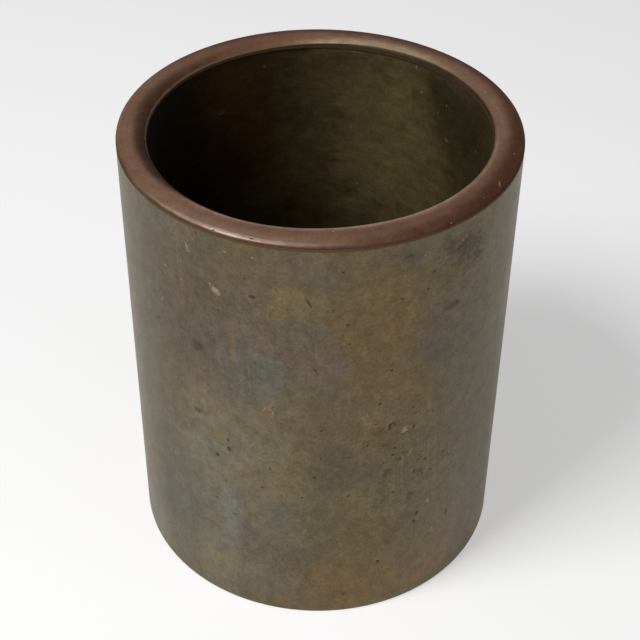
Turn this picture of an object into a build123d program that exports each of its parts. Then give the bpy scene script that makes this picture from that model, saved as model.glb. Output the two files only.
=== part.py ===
from build123d import *
import os

# Straight-walled cast bronze vessel with a flat copper rim, in millimetres.
# +Z is its axis, and the origin is the centre of the foot, on the surface it stands on.

# Driving sizes
outer_diameter = 110.0
total_height = 136.0
rim_width = 8.1

# Copper rim ring: a slightly domed band with rounded edges and a spigot on its inner side
rim_edge_height = 1.5
rim_overhang = 0.4
inner_slope_width = 2.6
inner_slope_drop = 0.75
outer_slope_width = 3.6
outer_slope_drop = 0.4
outer_edge_round = 1.2
spigot_width = 2.8
spigot_depth = 0.9

# Solder between the ring and the wall, the same under the ring and round the spigot
rim_solder_gap = 0.25

# Foot of the wall, and the rebate that takes the base from below
ledge_width = 2.5
foot_recess = 2.0
foot_outer_round = 0.6
foot_inner_chamfer = 0.3

# Base plate, and the solder that holds it
base_thickness = 5.0
base_clearance = 0.3
base_chamfer = 0.4
bead_leg = 1.4

# Radii and heights that follow from the sizes above
outer_radius = outer_diameter / 2
mouth_radius = outer_radius - rim_width
bore_radius = mouth_radius + rim_overhang
spigot_outer = mouth_radius + spigot_width
step_radius = spigot_outer + rim_solder_gap
ring_seat = total_height - rim_edge_height
spigot_bottom = ring_seat - spigot_depth
wall_top = ring_seat - rim_solder_gap
step_height = spigot_bottom - rim_solder_gap
rebate_radius = bore_radius + ledge_width
base_radius = rebate_radius - base_clearance
ledge_height = foot_recess + base_thickness


# Body wall: a turned tube with a step inside its top and a rebate in its foot
with BuildPart() as body_wall:
    with BuildSketch() as wall_ring:
        Circle(outer_radius)
        Circle(bore_radius, mode=Mode.SUBTRACT)
    extrude(amount=wall_top)
    with BuildSketch(Plane.XY.offset(step_height)) as rim_step:
        Circle(step_radius)
    extrude(amount=wall_top - step_height, mode=Mode.SUBTRACT)
    with BuildSketch() as base_rebate:
        Circle(rebate_radius)
    extrude(amount=ledge_height, mode=Mode.SUBTRACT)
    foot_edges = body_wall.faces().sort_by(Axis.Z)[0].edges().sort_by(SortBy.LENGTH)
    fillet(foot_edges[-1], radius=foot_outer_round)
    foot_edges = body_wall.faces().sort_by(Axis.Z)[0].edges().sort_by(SortBy.LENGTH)
    chamfer(foot_edges[0], length=foot_inner_chamfer)


# Rim ring: one section turned about the axis
inner_slope_start = (mouth_radius + inner_slope_width, total_height)
inner_slope_end = (mouth_radius, total_height - inner_slope_drop)
outer_slope_start = (outer_radius - outer_slope_width, total_height)
outer_slope_end = (outer_radius, total_height - outer_slope_drop)
with BuildPart() as rim_ring:
    with BuildSketch(Plane.XZ) as ring_section:
        with BuildLine() as ring_outline:
            Line(inner_slope_start, outer_slope_start)
            TangentArc(outer_slope_start, outer_slope_end, tangent=(1, 0))
            Polyline(
                outer_slope_end,
                (outer_radius, ring_seat),
                (spigot_outer, ring_seat),
                (spigot_outer, spigot_bottom),
                (mouth_radius, spigot_bottom),
                inner_slope_end,
            )
            TangentArc(inner_slope_start, inner_slope_end, tangent=(-1, 0))
        make_face()
        top_corner = ring_section.vertices().group_by(Axis.X)[-1].sort_by(Axis.Y)[-1]
        fillet(top_corner, radius=outer_edge_round)
    revolve(axis=Axis.Z)


# Rim solder: one stepped layer, on top of the wall, beside the spigot and under it
with BuildPart() as rim_solder:
    with BuildSketch(Plane.XZ) as solder_section:
        with BuildLine() as solder_outline:
            Polyline(
                (bore_radius, step_height),
                (step_radius, step_height),
                (step_radius, wall_top),
                (outer_radius, wall_top),
                (outer_radius, ring_seat),
                (spigot_outer, ring_seat),
                (spigot_outer, spigot_bottom),
                (bore_radius, spigot_bottom),
                (bore_radius, step_height),
            )
        make_face()
    revolve(axis=Axis.Z)


# Base plate: a disc pushed up against the ledge of the rebate
with BuildPart() as base_plate:
    with BuildSketch(Plane.XY.offset(foot_recess)) as plate_disc:
        Circle(base_radius)
    extrude(amount=base_thickness)
    lead_edge = base_plate.faces().sort_by(Axis.Z)[-1].edges()
    chamfer(lead_edge, length=base_chamfer)


# Base solder: fills the gap round the plate and ends in a hollow bead underneath
solder_top = ledge_height - base_chamfer
bead_inner = rebate_radius - bead_leg
bead_bottom = foot_recess - bead_leg
with BuildPart() as base_solder:
    with BuildSketch(Plane.XZ) as bead_section:
        with BuildLine() as bead_outline:
            Polyline(
                (bead_inner, foot_recess),
                (base_radius, foot_recess),
                (base_radius, solder_top),
                (rebate_radius, solder_top),
                (rebate_radius, bead_bottom),
            )
            CenterArc((bead_inner, bead_bottom), bead_leg, 0, 90)
        make_face()
    revolve(axis=Axis.Z)


body_wall.part.label = "body_wall"
rim_ring.part.label = "rim_ring"
rim_solder.part.label = "rim_solder"
base_plate.part.label = "base_plate"
base_solder.part.label = "base_solder"

os.makedirs("parts", exist_ok=True)
export_step(body_wall.part, "parts/body_wall.step")
export_step(rim_ring.part, "parts/rim_ring.step")
export_step(rim_solder.part, "parts/rim_solder.step")
export_step(base_plate.part, "parts/base_plate.step")
export_step(base_solder.part, "parts/base_solder.step")
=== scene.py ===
import math
import random

import bmesh
import bpy
import numpy as np
from mathutils import Color, Matrix, Vector, noise


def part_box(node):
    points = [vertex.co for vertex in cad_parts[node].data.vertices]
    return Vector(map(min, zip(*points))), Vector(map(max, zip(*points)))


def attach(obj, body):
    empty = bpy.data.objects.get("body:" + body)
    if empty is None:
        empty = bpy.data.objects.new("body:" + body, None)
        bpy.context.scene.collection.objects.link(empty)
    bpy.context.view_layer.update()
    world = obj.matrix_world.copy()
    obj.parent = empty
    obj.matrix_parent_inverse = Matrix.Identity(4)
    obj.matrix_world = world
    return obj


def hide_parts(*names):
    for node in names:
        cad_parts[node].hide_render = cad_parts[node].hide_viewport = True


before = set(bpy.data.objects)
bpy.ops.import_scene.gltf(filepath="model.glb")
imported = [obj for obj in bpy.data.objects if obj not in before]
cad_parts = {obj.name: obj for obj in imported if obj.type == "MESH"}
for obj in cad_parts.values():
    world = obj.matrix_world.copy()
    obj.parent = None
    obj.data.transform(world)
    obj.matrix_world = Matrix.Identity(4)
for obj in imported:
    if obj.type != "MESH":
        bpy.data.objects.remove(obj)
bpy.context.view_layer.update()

bl_info = {
    "name": "Bronze vessel finish",
    "version": (1, 0, 0),
    "blender": (4, 5, 0),
    "location": "View3D > Sidebar > Vessel",
    "description": "Turned bronze vessel with a copper rim, its patina, and the stage it stands on",
    "category": "Object",
}

MM = 0.001

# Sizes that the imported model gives
WALL_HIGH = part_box("body_wall")[1]
RING_LOW, RING_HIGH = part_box("rim_ring")
PLATE_LOW, PLATE_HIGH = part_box("base_plate")
BEAD_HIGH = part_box("base_solder")[1]
SOLDER_LOW, SOLDER_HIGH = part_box("rim_solder")
OUTER_RADIUS = max(WALL_HIGH.x, WALL_HIGH.y)
WALL_TOP = WALL_HIGH.z
RIM_TOP = RING_HIGH.z
RING_SEAT = SOLDER_HIGH.z
SPIGOT_BOTTOM = RING_LOW.z
STEP_HEIGHT = SOLDER_LOW.z
PLATE_UNDER = PLATE_LOW.z
PLATE_TOP = PLATE_HIGH.z
PLATE_RADIUS = max(PLATE_HIGH.x, PLATE_HIGH.y)
REBATE_RADIUS = max(BEAD_HIGH.x, BEAD_HIGH.y)
SOLDER_GAP = SPIGOT_BOTTOM - STEP_HEIGHT

# A row of points this far from a corner holds the face beside it straight
HOLD = 0.15 * MM
# Distance between points across the ring's flat top
TOP_STEP = 0.4 * MM
# Points nearer to one another than this are one point
MERGE_REACH = 0.01 * MM
# Height over which the wall's waviness grows from nothing
LEVEL_FOOT = 3 * MM
# Edges that turn by more than this look sharp
CREASE_ANGLE = math.radians(32)
# Chooses the waves of the cast wall
WAVE_SEED = 3.0
# Depth of the layer that counts as the outside, and how far past the bore the inside's colours go
SKIN = 0.4 * MM
BORE_MARGIN = 0.2 * MM
# Points nearer to the axis than these belong to the ring's inner face and to the wall's inside
LIP_REACH = REBATE_RADIUS - 2.5 * MM
INSIDE_REACH = REBATE_RADIUS - 1.5 * MM

# Camera sensor, lamps and floor. The key lamp stands KEY_REACH from the mouth, the way KEY_WAY points
SENSOR_WIDTH = 36
KEY_WAY = Vector((-0.5, -0.35, 0.8))
KEY_REACH = 0.9
KEY_SIZE = 0.35
FILL_PLACE = Vector((0.75, -0.5, 0.17))
FILL_SIZE = 0.6
FLOOR_HALF = 3.0


def length(name, value, text):
    """A length property, in metres, given in millimetres."""
    return bpy.props.FloatProperty(
        name=name, description=text, default=value * MM, min=0.0, unit="LENGTH", precision=5
    )


def tint(name, red, green, blue, text):
    """A colour property, given as the eye sees it, from 0 to 255."""
    return bpy.props.FloatVectorProperty(
        name=name,
        description=text,
        subtype="COLOR_GAMMA",
        size=3,
        min=0.0,
        max=1.0,
        default=(red / 255, green / 255, blue / 255),
    )


class VesselSizes(bpy.types.PropertyGroup):
    """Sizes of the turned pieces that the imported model's boxes do not give."""

    rim_width: length("Rim width", 8.1, "Top face of the rim, from the outside to the mouth")
    rim_overhang: length("Rim overhang", 0.4, "How far the ring stands inside the wall's bore")
    spigot_width: length("Spigot width", 2.8, "Inner part of the ring, let into the wall's step")
    inner_slope_width: length("Inner slope width", 2.6, "Rounded-over band beside the mouth")
    inner_slope_drop: length("Inner slope drop", 0.75, "How far that band falls")
    outer_slope_width: length("Outer slope width", 3.6, "Gently falling band beside the outside")
    outer_slope_drop: length("Outer slope drop", 0.4, "How far that band falls")
    outer_edge_round: length("Outer edge round", 1.2, "Radius of the ring's outer edge")
    foot_outer_round: length("Foot outer round", 0.6, "Radius of the foot's outer edge")
    foot_inner_chamfer: length("Foot inner chamfer", 0.3, "Bevel of the foot's inner edge")
    plate_chamfer: length("Plate chamfer", 0.4, "Bevel of the base plate's upper edge")
    bead_leg: length("Bead leg", 1.4, "Solder bead under the base plate")
    lip_sharp_side: bpy.props.FloatProperty(
        name="Lip sharp side",
        description="Degrees round to where the mouth's edge is sharpest",
        default=80.0,
    )
    row_step: length("Row step", 1.05, "Height of one row of faces on the outside")
    inner_row_step: length("Inner row step", 2.2, "Height of one row of faces on the inside")
    waviness: length("Waviness", 0.07, "How far the cast wall wanders in and out")
    wave_size: length("Wave size", 26.0, "Length of those waves")
    segments: bpy.props.IntProperty(
        name="Segments", description="Faces around the axis", default=360, min=24, max=1024
    )


class VesselColours(bpy.types.PropertyGroup):
    """Colours of the patina and of the worn copper, and of painted shade, sheen and highlights, as the eye
    sees them.
    """

    olive: tint("Olive", 101, 90, 65, "Main patina of the outside")
    ochre: tint("Ochre", 111, 89, 58, "Warm brown patches")
    amber: tint("Amber", 120, 103, 70, "Brightest yellow-brown patches")
    mauve: tint("Mauve", 103, 91, 79, "Purplish grey patches")
    violet: tint("Violet", 90, 80, 66, "Dark purplish patches")
    slate: tint("Slate", 95, 93, 83, "Bluish grey patches")
    teal: tint("Teal", 84, 80, 62, "Dark green-grey patches")
    frost: tint("Frost", 113, 112, 105, "Pale blue-grey patches")
    straw: tint("Straw", 119, 111, 88, "Pale yellow-green patches")
    moss: tint("Moss", 98, 86, 56, "Green-brown patches")
    umber: tint("Umber", 76, 62, 42, "Dark mottled patches and specks")
    pit: tint("Pit", 64, 52, 38, "Floor of the pits")
    chip: tint("Chip", 168, 154, 112, "Bare metal where the patina has chipped")
    inside: tint("Inside", 70, 60, 38, "Olive brown of the inside")
    inside_pale: tint("Inside pale", 96, 86, 54, "Paler green-brown of the inside")
    inside_dark: tint("Inside dark", 49, 43, 25, "Dark green stains of the inside")
    inside_red: tint("Inside red", 56, 34, 16, "Dark red-brown stains of the inside")
    # Partly black stains and partly painted shade: the broad patches darken the inside's left, which faces
    # away from the key lamp
    inside_stain_black_and_shade: tint("Inside black", 16, 10, 5, "Black stain of the inside")
    # Purplish stains, and one painted mauve glint on the dark left of the inside
    inside_mauve_stain_and_glint: tint("Inside violet", 76, 58, 46, "Purplish stains of the inside")
    copper: tint("Copper", 112, 84, 67, "Worn copper of the rim")
    rim_red: tint("Rim red", 88, 59, 43, "Redder copper")
    # Painted shade: the inner slope on the left, which faces away from the key lamp
    rim_slope_shade: tint("Rim dark", 46, 25, 12, "Dark brown of the rim's inner slope")
    # Painted shade: the outer half, darker round the right and the back, where it also holds down the
    # reflection
    rim_shadow: tint("Rim shadow", 56, 27, 12, "Dark maroon of the rim's outer half")
    # Painted sheen: paler copper beside the glint of the outer edge
    rim_sheen: tint("Rim pale", 122, 97, 80, "Paler, pinkish copper")
    # Partly burnish and partly painted highlight: the key lamp's glint on the inner slope at the back, and
    # the inner edge's bright line
    rim_inner_highlight_and_burnish: tint("Rim bright", 150, 130, 108, "Burnished copper of the edges")
    # Partly bare metal and partly painted highlight: the key lamp's glint on the outer edge at the left
    # front
    rim_outer_highlight_and_bare_metal: tint("Rim burnish", 176, 160, 148, "Bare metal of the outer edge")
    # Painted shade: the darkest part of the inner slope on the left
    rim_slope_deep_shade: tint("Rim black", 24, 11, 6, "Blackened inner slope of the rim")
    # Partly tarnish and partly painted dark reflection: the lower curve of the outer edge, darkened so
    # that it catches less of the key lamp
    rim_fillet_oxide_and_dark_reflection: tint("Rim edge", 70, 48, 36, "Tarnished outer side of the rim")
    lip_stain: tint("Lip stain", 62, 50, 30, "Stain on the ring's inner face")
    lip_olive: tint("Lip olive", 108, 99, 62, "Paler olive on the ring's inner face")
    # Painted sheen: a paler band just under the ring at the back right, where the key lamp glints on the
    # rim
    lip_shine: tint("Lip shine", 122, 110, 70, "Rubbed band of the wall just under the ring")
    lip_violet: tint("Lip violet", 90, 72, 60, "Purplish stain on the ring's inner face")
    # Painted shade: the ring's inner face on the left, which faces away from the key lamp
    lip_shade: tint("Lip dark", 26, 14, 8, "Dark stain on the ring's inner face")
    fleck: tint("Fleck", 190, 165, 135, "Pale flecks on the rim")
    # Tarnish of the nicks and the solder, and also a painted dark reflection in the band under the rim's
    # outer edge
    tarnish_and_dark_reflection: tint("Tarnish", 58, 38, 26, "Dark tarnish under the rim's outer edge")
    rim_skirt: tint("Rim skirt", 94, 76, 57, "The wall's patina, where it creeps up the rim's outer edge")
    solder: tint("Solder", 92, 78, 58, "Tarnished solder")


class StudioSettings(bpy.types.PropertyGroup):
    """Camera, lamps and floor."""

    camera_height: length("Camera height", 342.1938, "Height of the camera above the floor")
    camera_reach: length("Camera reach", 332.9288, "Distance of the camera from the axis")
    pitch: bpy.props.FloatProperty(
        name="Pitch", description="How far the camera looks down", default=0.688976, unit="ROTATION"
    )
    yaw: bpy.props.FloatProperty(
        name="Yaw", description="How far the camera turns right", default=0.001319, unit="ROTATION"
    )
    roll: bpy.props.FloatProperty(
        name="Roll", description="How far the camera leans", default=0.011214, unit="ROTATION"
    )
    lens: bpy.props.FloatProperty(
        name="Lens", description="Focal length on a 36 mm sensor", default=81.0216, unit="CAMERA"
    )
    key_power: bpy.props.FloatProperty(
        name="Key power", description="Lamp above the left front", default=7.5, unit="POWER"
    )
    fill_power: bpy.props.FloatProperty(
        name="Fill power", description="Low lamp at the right front", default=2.0, unit="POWER"
    )
    sky: bpy.props.FloatProperty(
        name="Sky", description="Even light from all around", default=0.18, min=0.0
    )
    floor_shade: bpy.props.FloatProperty(
        name="Floor shade", description="How pale the floor is", default=0.65, min=0.0, max=1.0
    )
    floor_lift: bpy.props.FloatProperty(
        name="Floor lift", description="White added to the floor for the camera", default=0.4
    )


def straight(start, end, step):
    """Points from start up to, but not including, end, about a step apart."""
    a, b = Vector(start), Vector(end)
    count = max(1, round((b - a).length / step))
    return [tuple(a.lerp(b, i / count)) for i in range(count)]


def rounded(centre, radius, first, last, steps=5):
    """Points of an arc from the angle first to the angle last, in degrees, both ends included."""
    angles = [math.radians(first + (last - first) * i / steps) for i in range(steps + 1)]
    return [(centre[0] + radius * math.cos(a), centre[1] + radius * math.sin(a)) for a in angles]


def wall_profile(s):
    """Section of the wall: foot, outside, stepped top, bore, ledge and rebate."""
    mouth = OUTER_RADIUS - s.rim_width
    bore = mouth + s.rim_overhang
    step = mouth + s.spigot_width + SOLDER_GAP
    foot = s.foot_outer_round
    points = straight((REBATE_RADIUS + s.foot_inner_chamfer, 0), (OUTER_RADIUS - foot, 0), s.row_step)
    points += rounded((OUTER_RADIUS - foot, foot), foot, -90, 0)
    points += straight((OUTER_RADIUS, foot + s.row_step), (OUTER_RADIUS, WALL_TOP - HOLD), s.row_step)
    points += [(OUTER_RADIUS, WALL_TOP - HOLD), (OUTER_RADIUS, WALL_TOP)]
    points += [(step, WALL_TOP), (step, STEP_HEIGHT), (bore, STEP_HEIGHT), (bore, STEP_HEIGHT - HOLD)]
    points += straight((bore, STEP_HEIGHT - s.row_step), (bore, PLATE_TOP + HOLD), s.inner_row_step)
    points += [(bore, PLATE_TOP + HOLD), (bore, PLATE_TOP), (REBATE_RADIUS, PLATE_TOP)]
    rebate_foot = (REBATE_RADIUS, s.foot_inner_chamfer)
    points += straight((REBATE_RADIUS, PLATE_TOP - HOLD), rebate_foot, s.inner_row_step)
    points += [rebate_foot]
    return points


def arc_from_level(start, end, steps):
    """Points of the arc that leaves start level and ends at end, both ends included."""
    width, drop = end[0] - start[0], start[1] - end[1]
    radius = (width * width + drop * drop) / (2 * drop)
    last = math.asin(min(1.0, abs(width) / radius))
    side = math.copysign(radius, width)
    turns = [last * i / steps for i in range(steps + 1)]
    return [(start[0] + side * math.sin(t), start[1] - radius * (1 - math.cos(t))) for t in turns]


def ring_profile(s):
    """Section of the rim ring: domed top, rounded outer edge, and the spigot on its inner side."""
    mouth = OUTER_RADIUS - s.rim_width
    spigot = mouth + s.spigot_width
    edge = s.outer_edge_round
    inner = arc_from_level(
        (mouth + s.inner_slope_width, RIM_TOP), (mouth, RIM_TOP - s.inner_slope_drop), steps=14
    )
    outer = arc_from_level(
        (OUTER_RADIUS - s.outer_slope_width, RIM_TOP),
        (OUTER_RADIUS, RIM_TOP - s.outer_slope_drop),
        steps=18,
    )
    tilt = 2 * math.atan(s.outer_slope_drop / s.outer_slope_width)
    reach = edge * math.tan((math.pi / 2 - tilt) / 2)
    outer = [point for point in outer if math.dist(point, outer[-1]) > reach]
    knee = RIM_TOP - s.outer_slope_drop - reach
    points = [(mouth, SPIGOT_BOTTOM), (mouth, (SPIGOT_BOTTOM + inner[-1][1]) / 2)]
    points += inner[::-1]
    points += straight(inner[0], outer[0], TOP_STEP)[1:]
    points += outer
    points += rounded((OUTER_RADIUS - edge, knee), edge, 90 - math.degrees(tilt), 0, steps=10)
    points += [(OUTER_RADIUS, RING_SEAT), (spigot, RING_SEAT), (spigot, SPIGOT_BOTTOM)]
    return points


def rim_solder_profile(s):
    """Section of the solder: a stepped layer on the wall, beside the spigot and under it."""
    mouth = OUTER_RADIUS - s.rim_width
    bore, spigot = mouth + s.rim_overhang, mouth + s.spigot_width
    return [
        (bore, STEP_HEIGHT),
        (spigot + SOLDER_GAP, STEP_HEIGHT),
        (spigot + SOLDER_GAP, WALL_TOP),
        (OUTER_RADIUS, WALL_TOP),
        (OUTER_RADIUS, RING_SEAT),
        (spigot, RING_SEAT),
        (spigot, SPIGOT_BOTTOM),
        (bore, SPIGOT_BOTTOM),
    ]


def plate_profile(s):
    """Section of the base plate, from the axis at its top to the axis at its underside."""
    edge = s.plate_chamfer
    points = straight((0, PLATE_TOP), (PLATE_RADIUS - edge, PLATE_TOP), s.row_step)
    points += [(PLATE_RADIUS - edge, PLATE_TOP), (PLATE_RADIUS, PLATE_TOP - edge)]
    points += straight((PLATE_RADIUS, PLATE_UNDER), (0, PLATE_UNDER), s.row_step)
    points += [(0, PLATE_UNDER)]
    return points


def bead_profile(s):
    """Section of the base solder: the filled gap and the hollow bead under it."""
    top = PLATE_TOP - s.plate_chamfer
    inner = REBATE_RADIUS - s.bead_leg
    points = [(PLATE_RADIUS, PLATE_UNDER), (PLATE_RADIUS, top), (REBATE_RADIUS, top)]
    points += rounded((inner, PLATE_UNDER - s.bead_leg), s.bead_leg, 0, 90, steps=8)
    return points


def turned_tree():
    """Geometry Nodes tree that turns a section about the axis and lets it wander, but not at the foot."""
    tree = bpy.data.node_groups.new("turned_form", "GeometryNodeTree")
    face = tree.interface
    face.new_socket("Geometry", in_out="OUTPUT", socket_type="NodeSocketGeometry")
    face.new_socket("Section", in_out="INPUT", socket_type="NodeSocketGeometry")
    for name, kind in (
        ("Path Radius", "NodeSocketFloat"),
        ("Segments", "NodeSocketInt"),
        ("Waviness", "NodeSocketFloat"),
        ("Wave Size", "NodeSocketFloat"),
        ("Seed", "NodeSocketFloat"),
        ("Sharp Angle", "NodeSocketFloat"),
        ("Outside", "NodeSocketMaterial"),
        ("Inside", "NodeSocketMaterial"),
        ("Inside Radius", "NodeSocketFloat"),
    ):
        face.new_socket(name, in_out="INPUT", socket_type=kind)
    add, link = tree.nodes.new, tree.links.new
    given = add("NodeGroupInput").outputs
    result = add("NodeGroupOutput")

    def sums(operation, first, second):
        node = add("ShaderNodeMath")
        node.operation = operation
        for socket, value in zip(node.inputs, (first, second)):
            if isinstance(value, bpy.types.NodeSocket):
                link(value, socket)
            else:
                socket.default_value = value
        return node.outputs[0]

    section = add("GeometryNodeMeshToCurve")
    link(given["Section"], section.inputs["Mesh"])
    path = add("GeometryNodeCurvePrimitiveCircle")
    link(given["Segments"], path.inputs["Resolution"])
    link(given["Path Radius"], path.inputs["Radius"])
    turned = add("GeometryNodeCurveToMesh")
    link(path.outputs["Curve"], turned.inputs["Curve"])
    link(section.outputs["Curve"], turned.inputs["Profile Curve"])

    place = add("GeometryNodeInputPosition").outputs[0]
    split = add("ShaderNodeSeparateXYZ")
    link(place, split.inputs[0])
    x, y, height = split.outputs
    waves = add("ShaderNodeTexNoise")
    waves.noise_dimensions = "4D"
    waves.inputs["Detail"].default_value = 2.0
    link(place, waves.inputs["Vector"])
    link(sums("DIVIDE", 1.0, given["Wave Size"]), waves.inputs["Scale"])
    link(given["Seed"], waves.inputs["W"])
    swing = sums("MULTIPLY", sums("SUBTRACT", waves.outputs[0], 0.5), 2.0)
    swing = sums("MULTIPLY", swing, sums("MINIMUM", sums("DIVIDE", height, LEVEL_FOOT), 1.0))
    along = add("ShaderNodeVectorMath")
    along.operation = "SCALE"
    link(add("GeometryNodeInputNormal").outputs[0], along.inputs[0])
    link(sums("MULTIPLY", swing, given["Waviness"]), along.inputs["Scale"])
    moved = add("GeometryNodeSetPosition")
    link(turned.outputs["Mesh"], moved.inputs["Geometry"])
    link(along.outputs[0], moved.inputs["Offset"])

    closed = add("GeometryNodeMergeByDistance")
    closed.inputs["Distance"].default_value = MERGE_REACH
    link(moved.outputs[0], closed.inputs["Geometry"])
    smooth = add("GeometryNodeSetShadeSmooth")
    link(closed.outputs[0], smooth.inputs["Geometry"])
    creased = add("GeometryNodeSetShadeSmooth")
    creased.domain = "EDGE"
    creased.inputs["Shade Smooth"].default_value = False
    link(smooth.outputs[0], creased.inputs["Geometry"])
    angle = add("GeometryNodeInputMeshEdgeAngle")
    sharp = sums("GREATER_THAN", angle.outputs["Unsigned Angle"], given["Sharp Angle"])
    link(sharp, creased.inputs["Selection"])

    outside = add("GeometryNodeSetMaterial")
    link(creased.outputs[0], outside.inputs["Geometry"])
    link(given["Outside"], outside.inputs["Material"])
    squares = sums("ADD", sums("POWER", x, 2.0), sums("POWER", y, 2.0))
    inside = add("GeometryNodeSetMaterial")
    link(outside.outputs[0], inside.inputs["Geometry"])
    near_axis = sums("LESS_THAN", sums("SQRT", squares, 0.0), given["Inside Radius"])
    link(near_axis, inside.inputs["Selection"])
    link(given["Inside"], inside.inputs["Material"])
    link(inside.outputs[0], result.inputs[0])
    return tree


def turn(
    name, section, outside, inside=None, inside_radius=0.0, segments=None, waviness=None, closed=True
):
    """A piece turned from its section by the Geometry Nodes tree, baked to a plain mesh."""
    s = bpy.context.scene.vessel_sizes
    count = len(section)
    ends = range(count if closed else count - 1)
    mesh = bpy.data.meshes.new(name)
    mesh.from_pydata(
        [(r - OUTER_RADIUS, -z, 0.0) for r, z in section], [(i, (i + 1) % count) for i in ends], []
    )
    piece = bpy.data.objects.new(name, mesh)
    bpy.context.scene.collection.objects.link(piece)
    tree = bpy.data.node_groups.get("turned_form") or turned_tree()
    modifier = piece.modifiers.new("turned", "NODES")
    modifier.node_group = tree
    values = {
        "Path Radius": OUTER_RADIUS,
        "Segments": segments or s.segments,
        "Waviness": s.waviness if waviness is None else waviness,
        "Wave Size": s.wave_size,
        "Seed": WAVE_SEED,
        "Sharp Angle": CREASE_ANGLE,
        "Outside": outside,
        "Inside": inside or outside,
        "Inside Radius": inside_radius,
    }
    for item in tree.interface.items_tree:
        if item.in_out == "INPUT" and item.name in values:
            modifier[item.identifier] = values[item.name]
    piece.update_tag()
    graph = bpy.context.evaluated_depsgraph_get()
    baked = bpy.data.meshes.new_from_object(piece.evaluated_get(graph))
    piece.modifiers.clear()
    piece.data = baked
    baked.name = name
    face_outwards(baked)
    return piece


def face_outwards(mesh):
    """Turns every face of a closed mesh outwards."""
    work = bmesh.new()
    work.from_mesh(mesh)
    bmesh.ops.recalc_face_normals(work, faces=work.faces)
    if work.calc_volume(signed=True) < 0:
        bmesh.ops.reverse_faces(work, faces=work.faces)
    work.to_mesh(mesh)
    work.free()


def corners_of(mesh):
    """The mesh's points as an array."""
    points = np.empty(len(mesh.vertices) * 3)
    mesh.vertices.foreach_get("co", points)
    return points.reshape(-1, 3)


def write_cover(mesh, name, values):
    """Keeps one number for each point of the mesh, for a material to read."""
    layer = mesh.attributes.new(name, "FLOAT", "POINT")
    layer.data.foreach_set("value", values.astype(np.float32))


def smooth_step(low, high, value):
    """0 below low, 1 above high, and a smooth rise between."""
    share = np.clip((value - low) / (high - low), 0, 1)
    return share * share * (3 - 2 * share)


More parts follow.
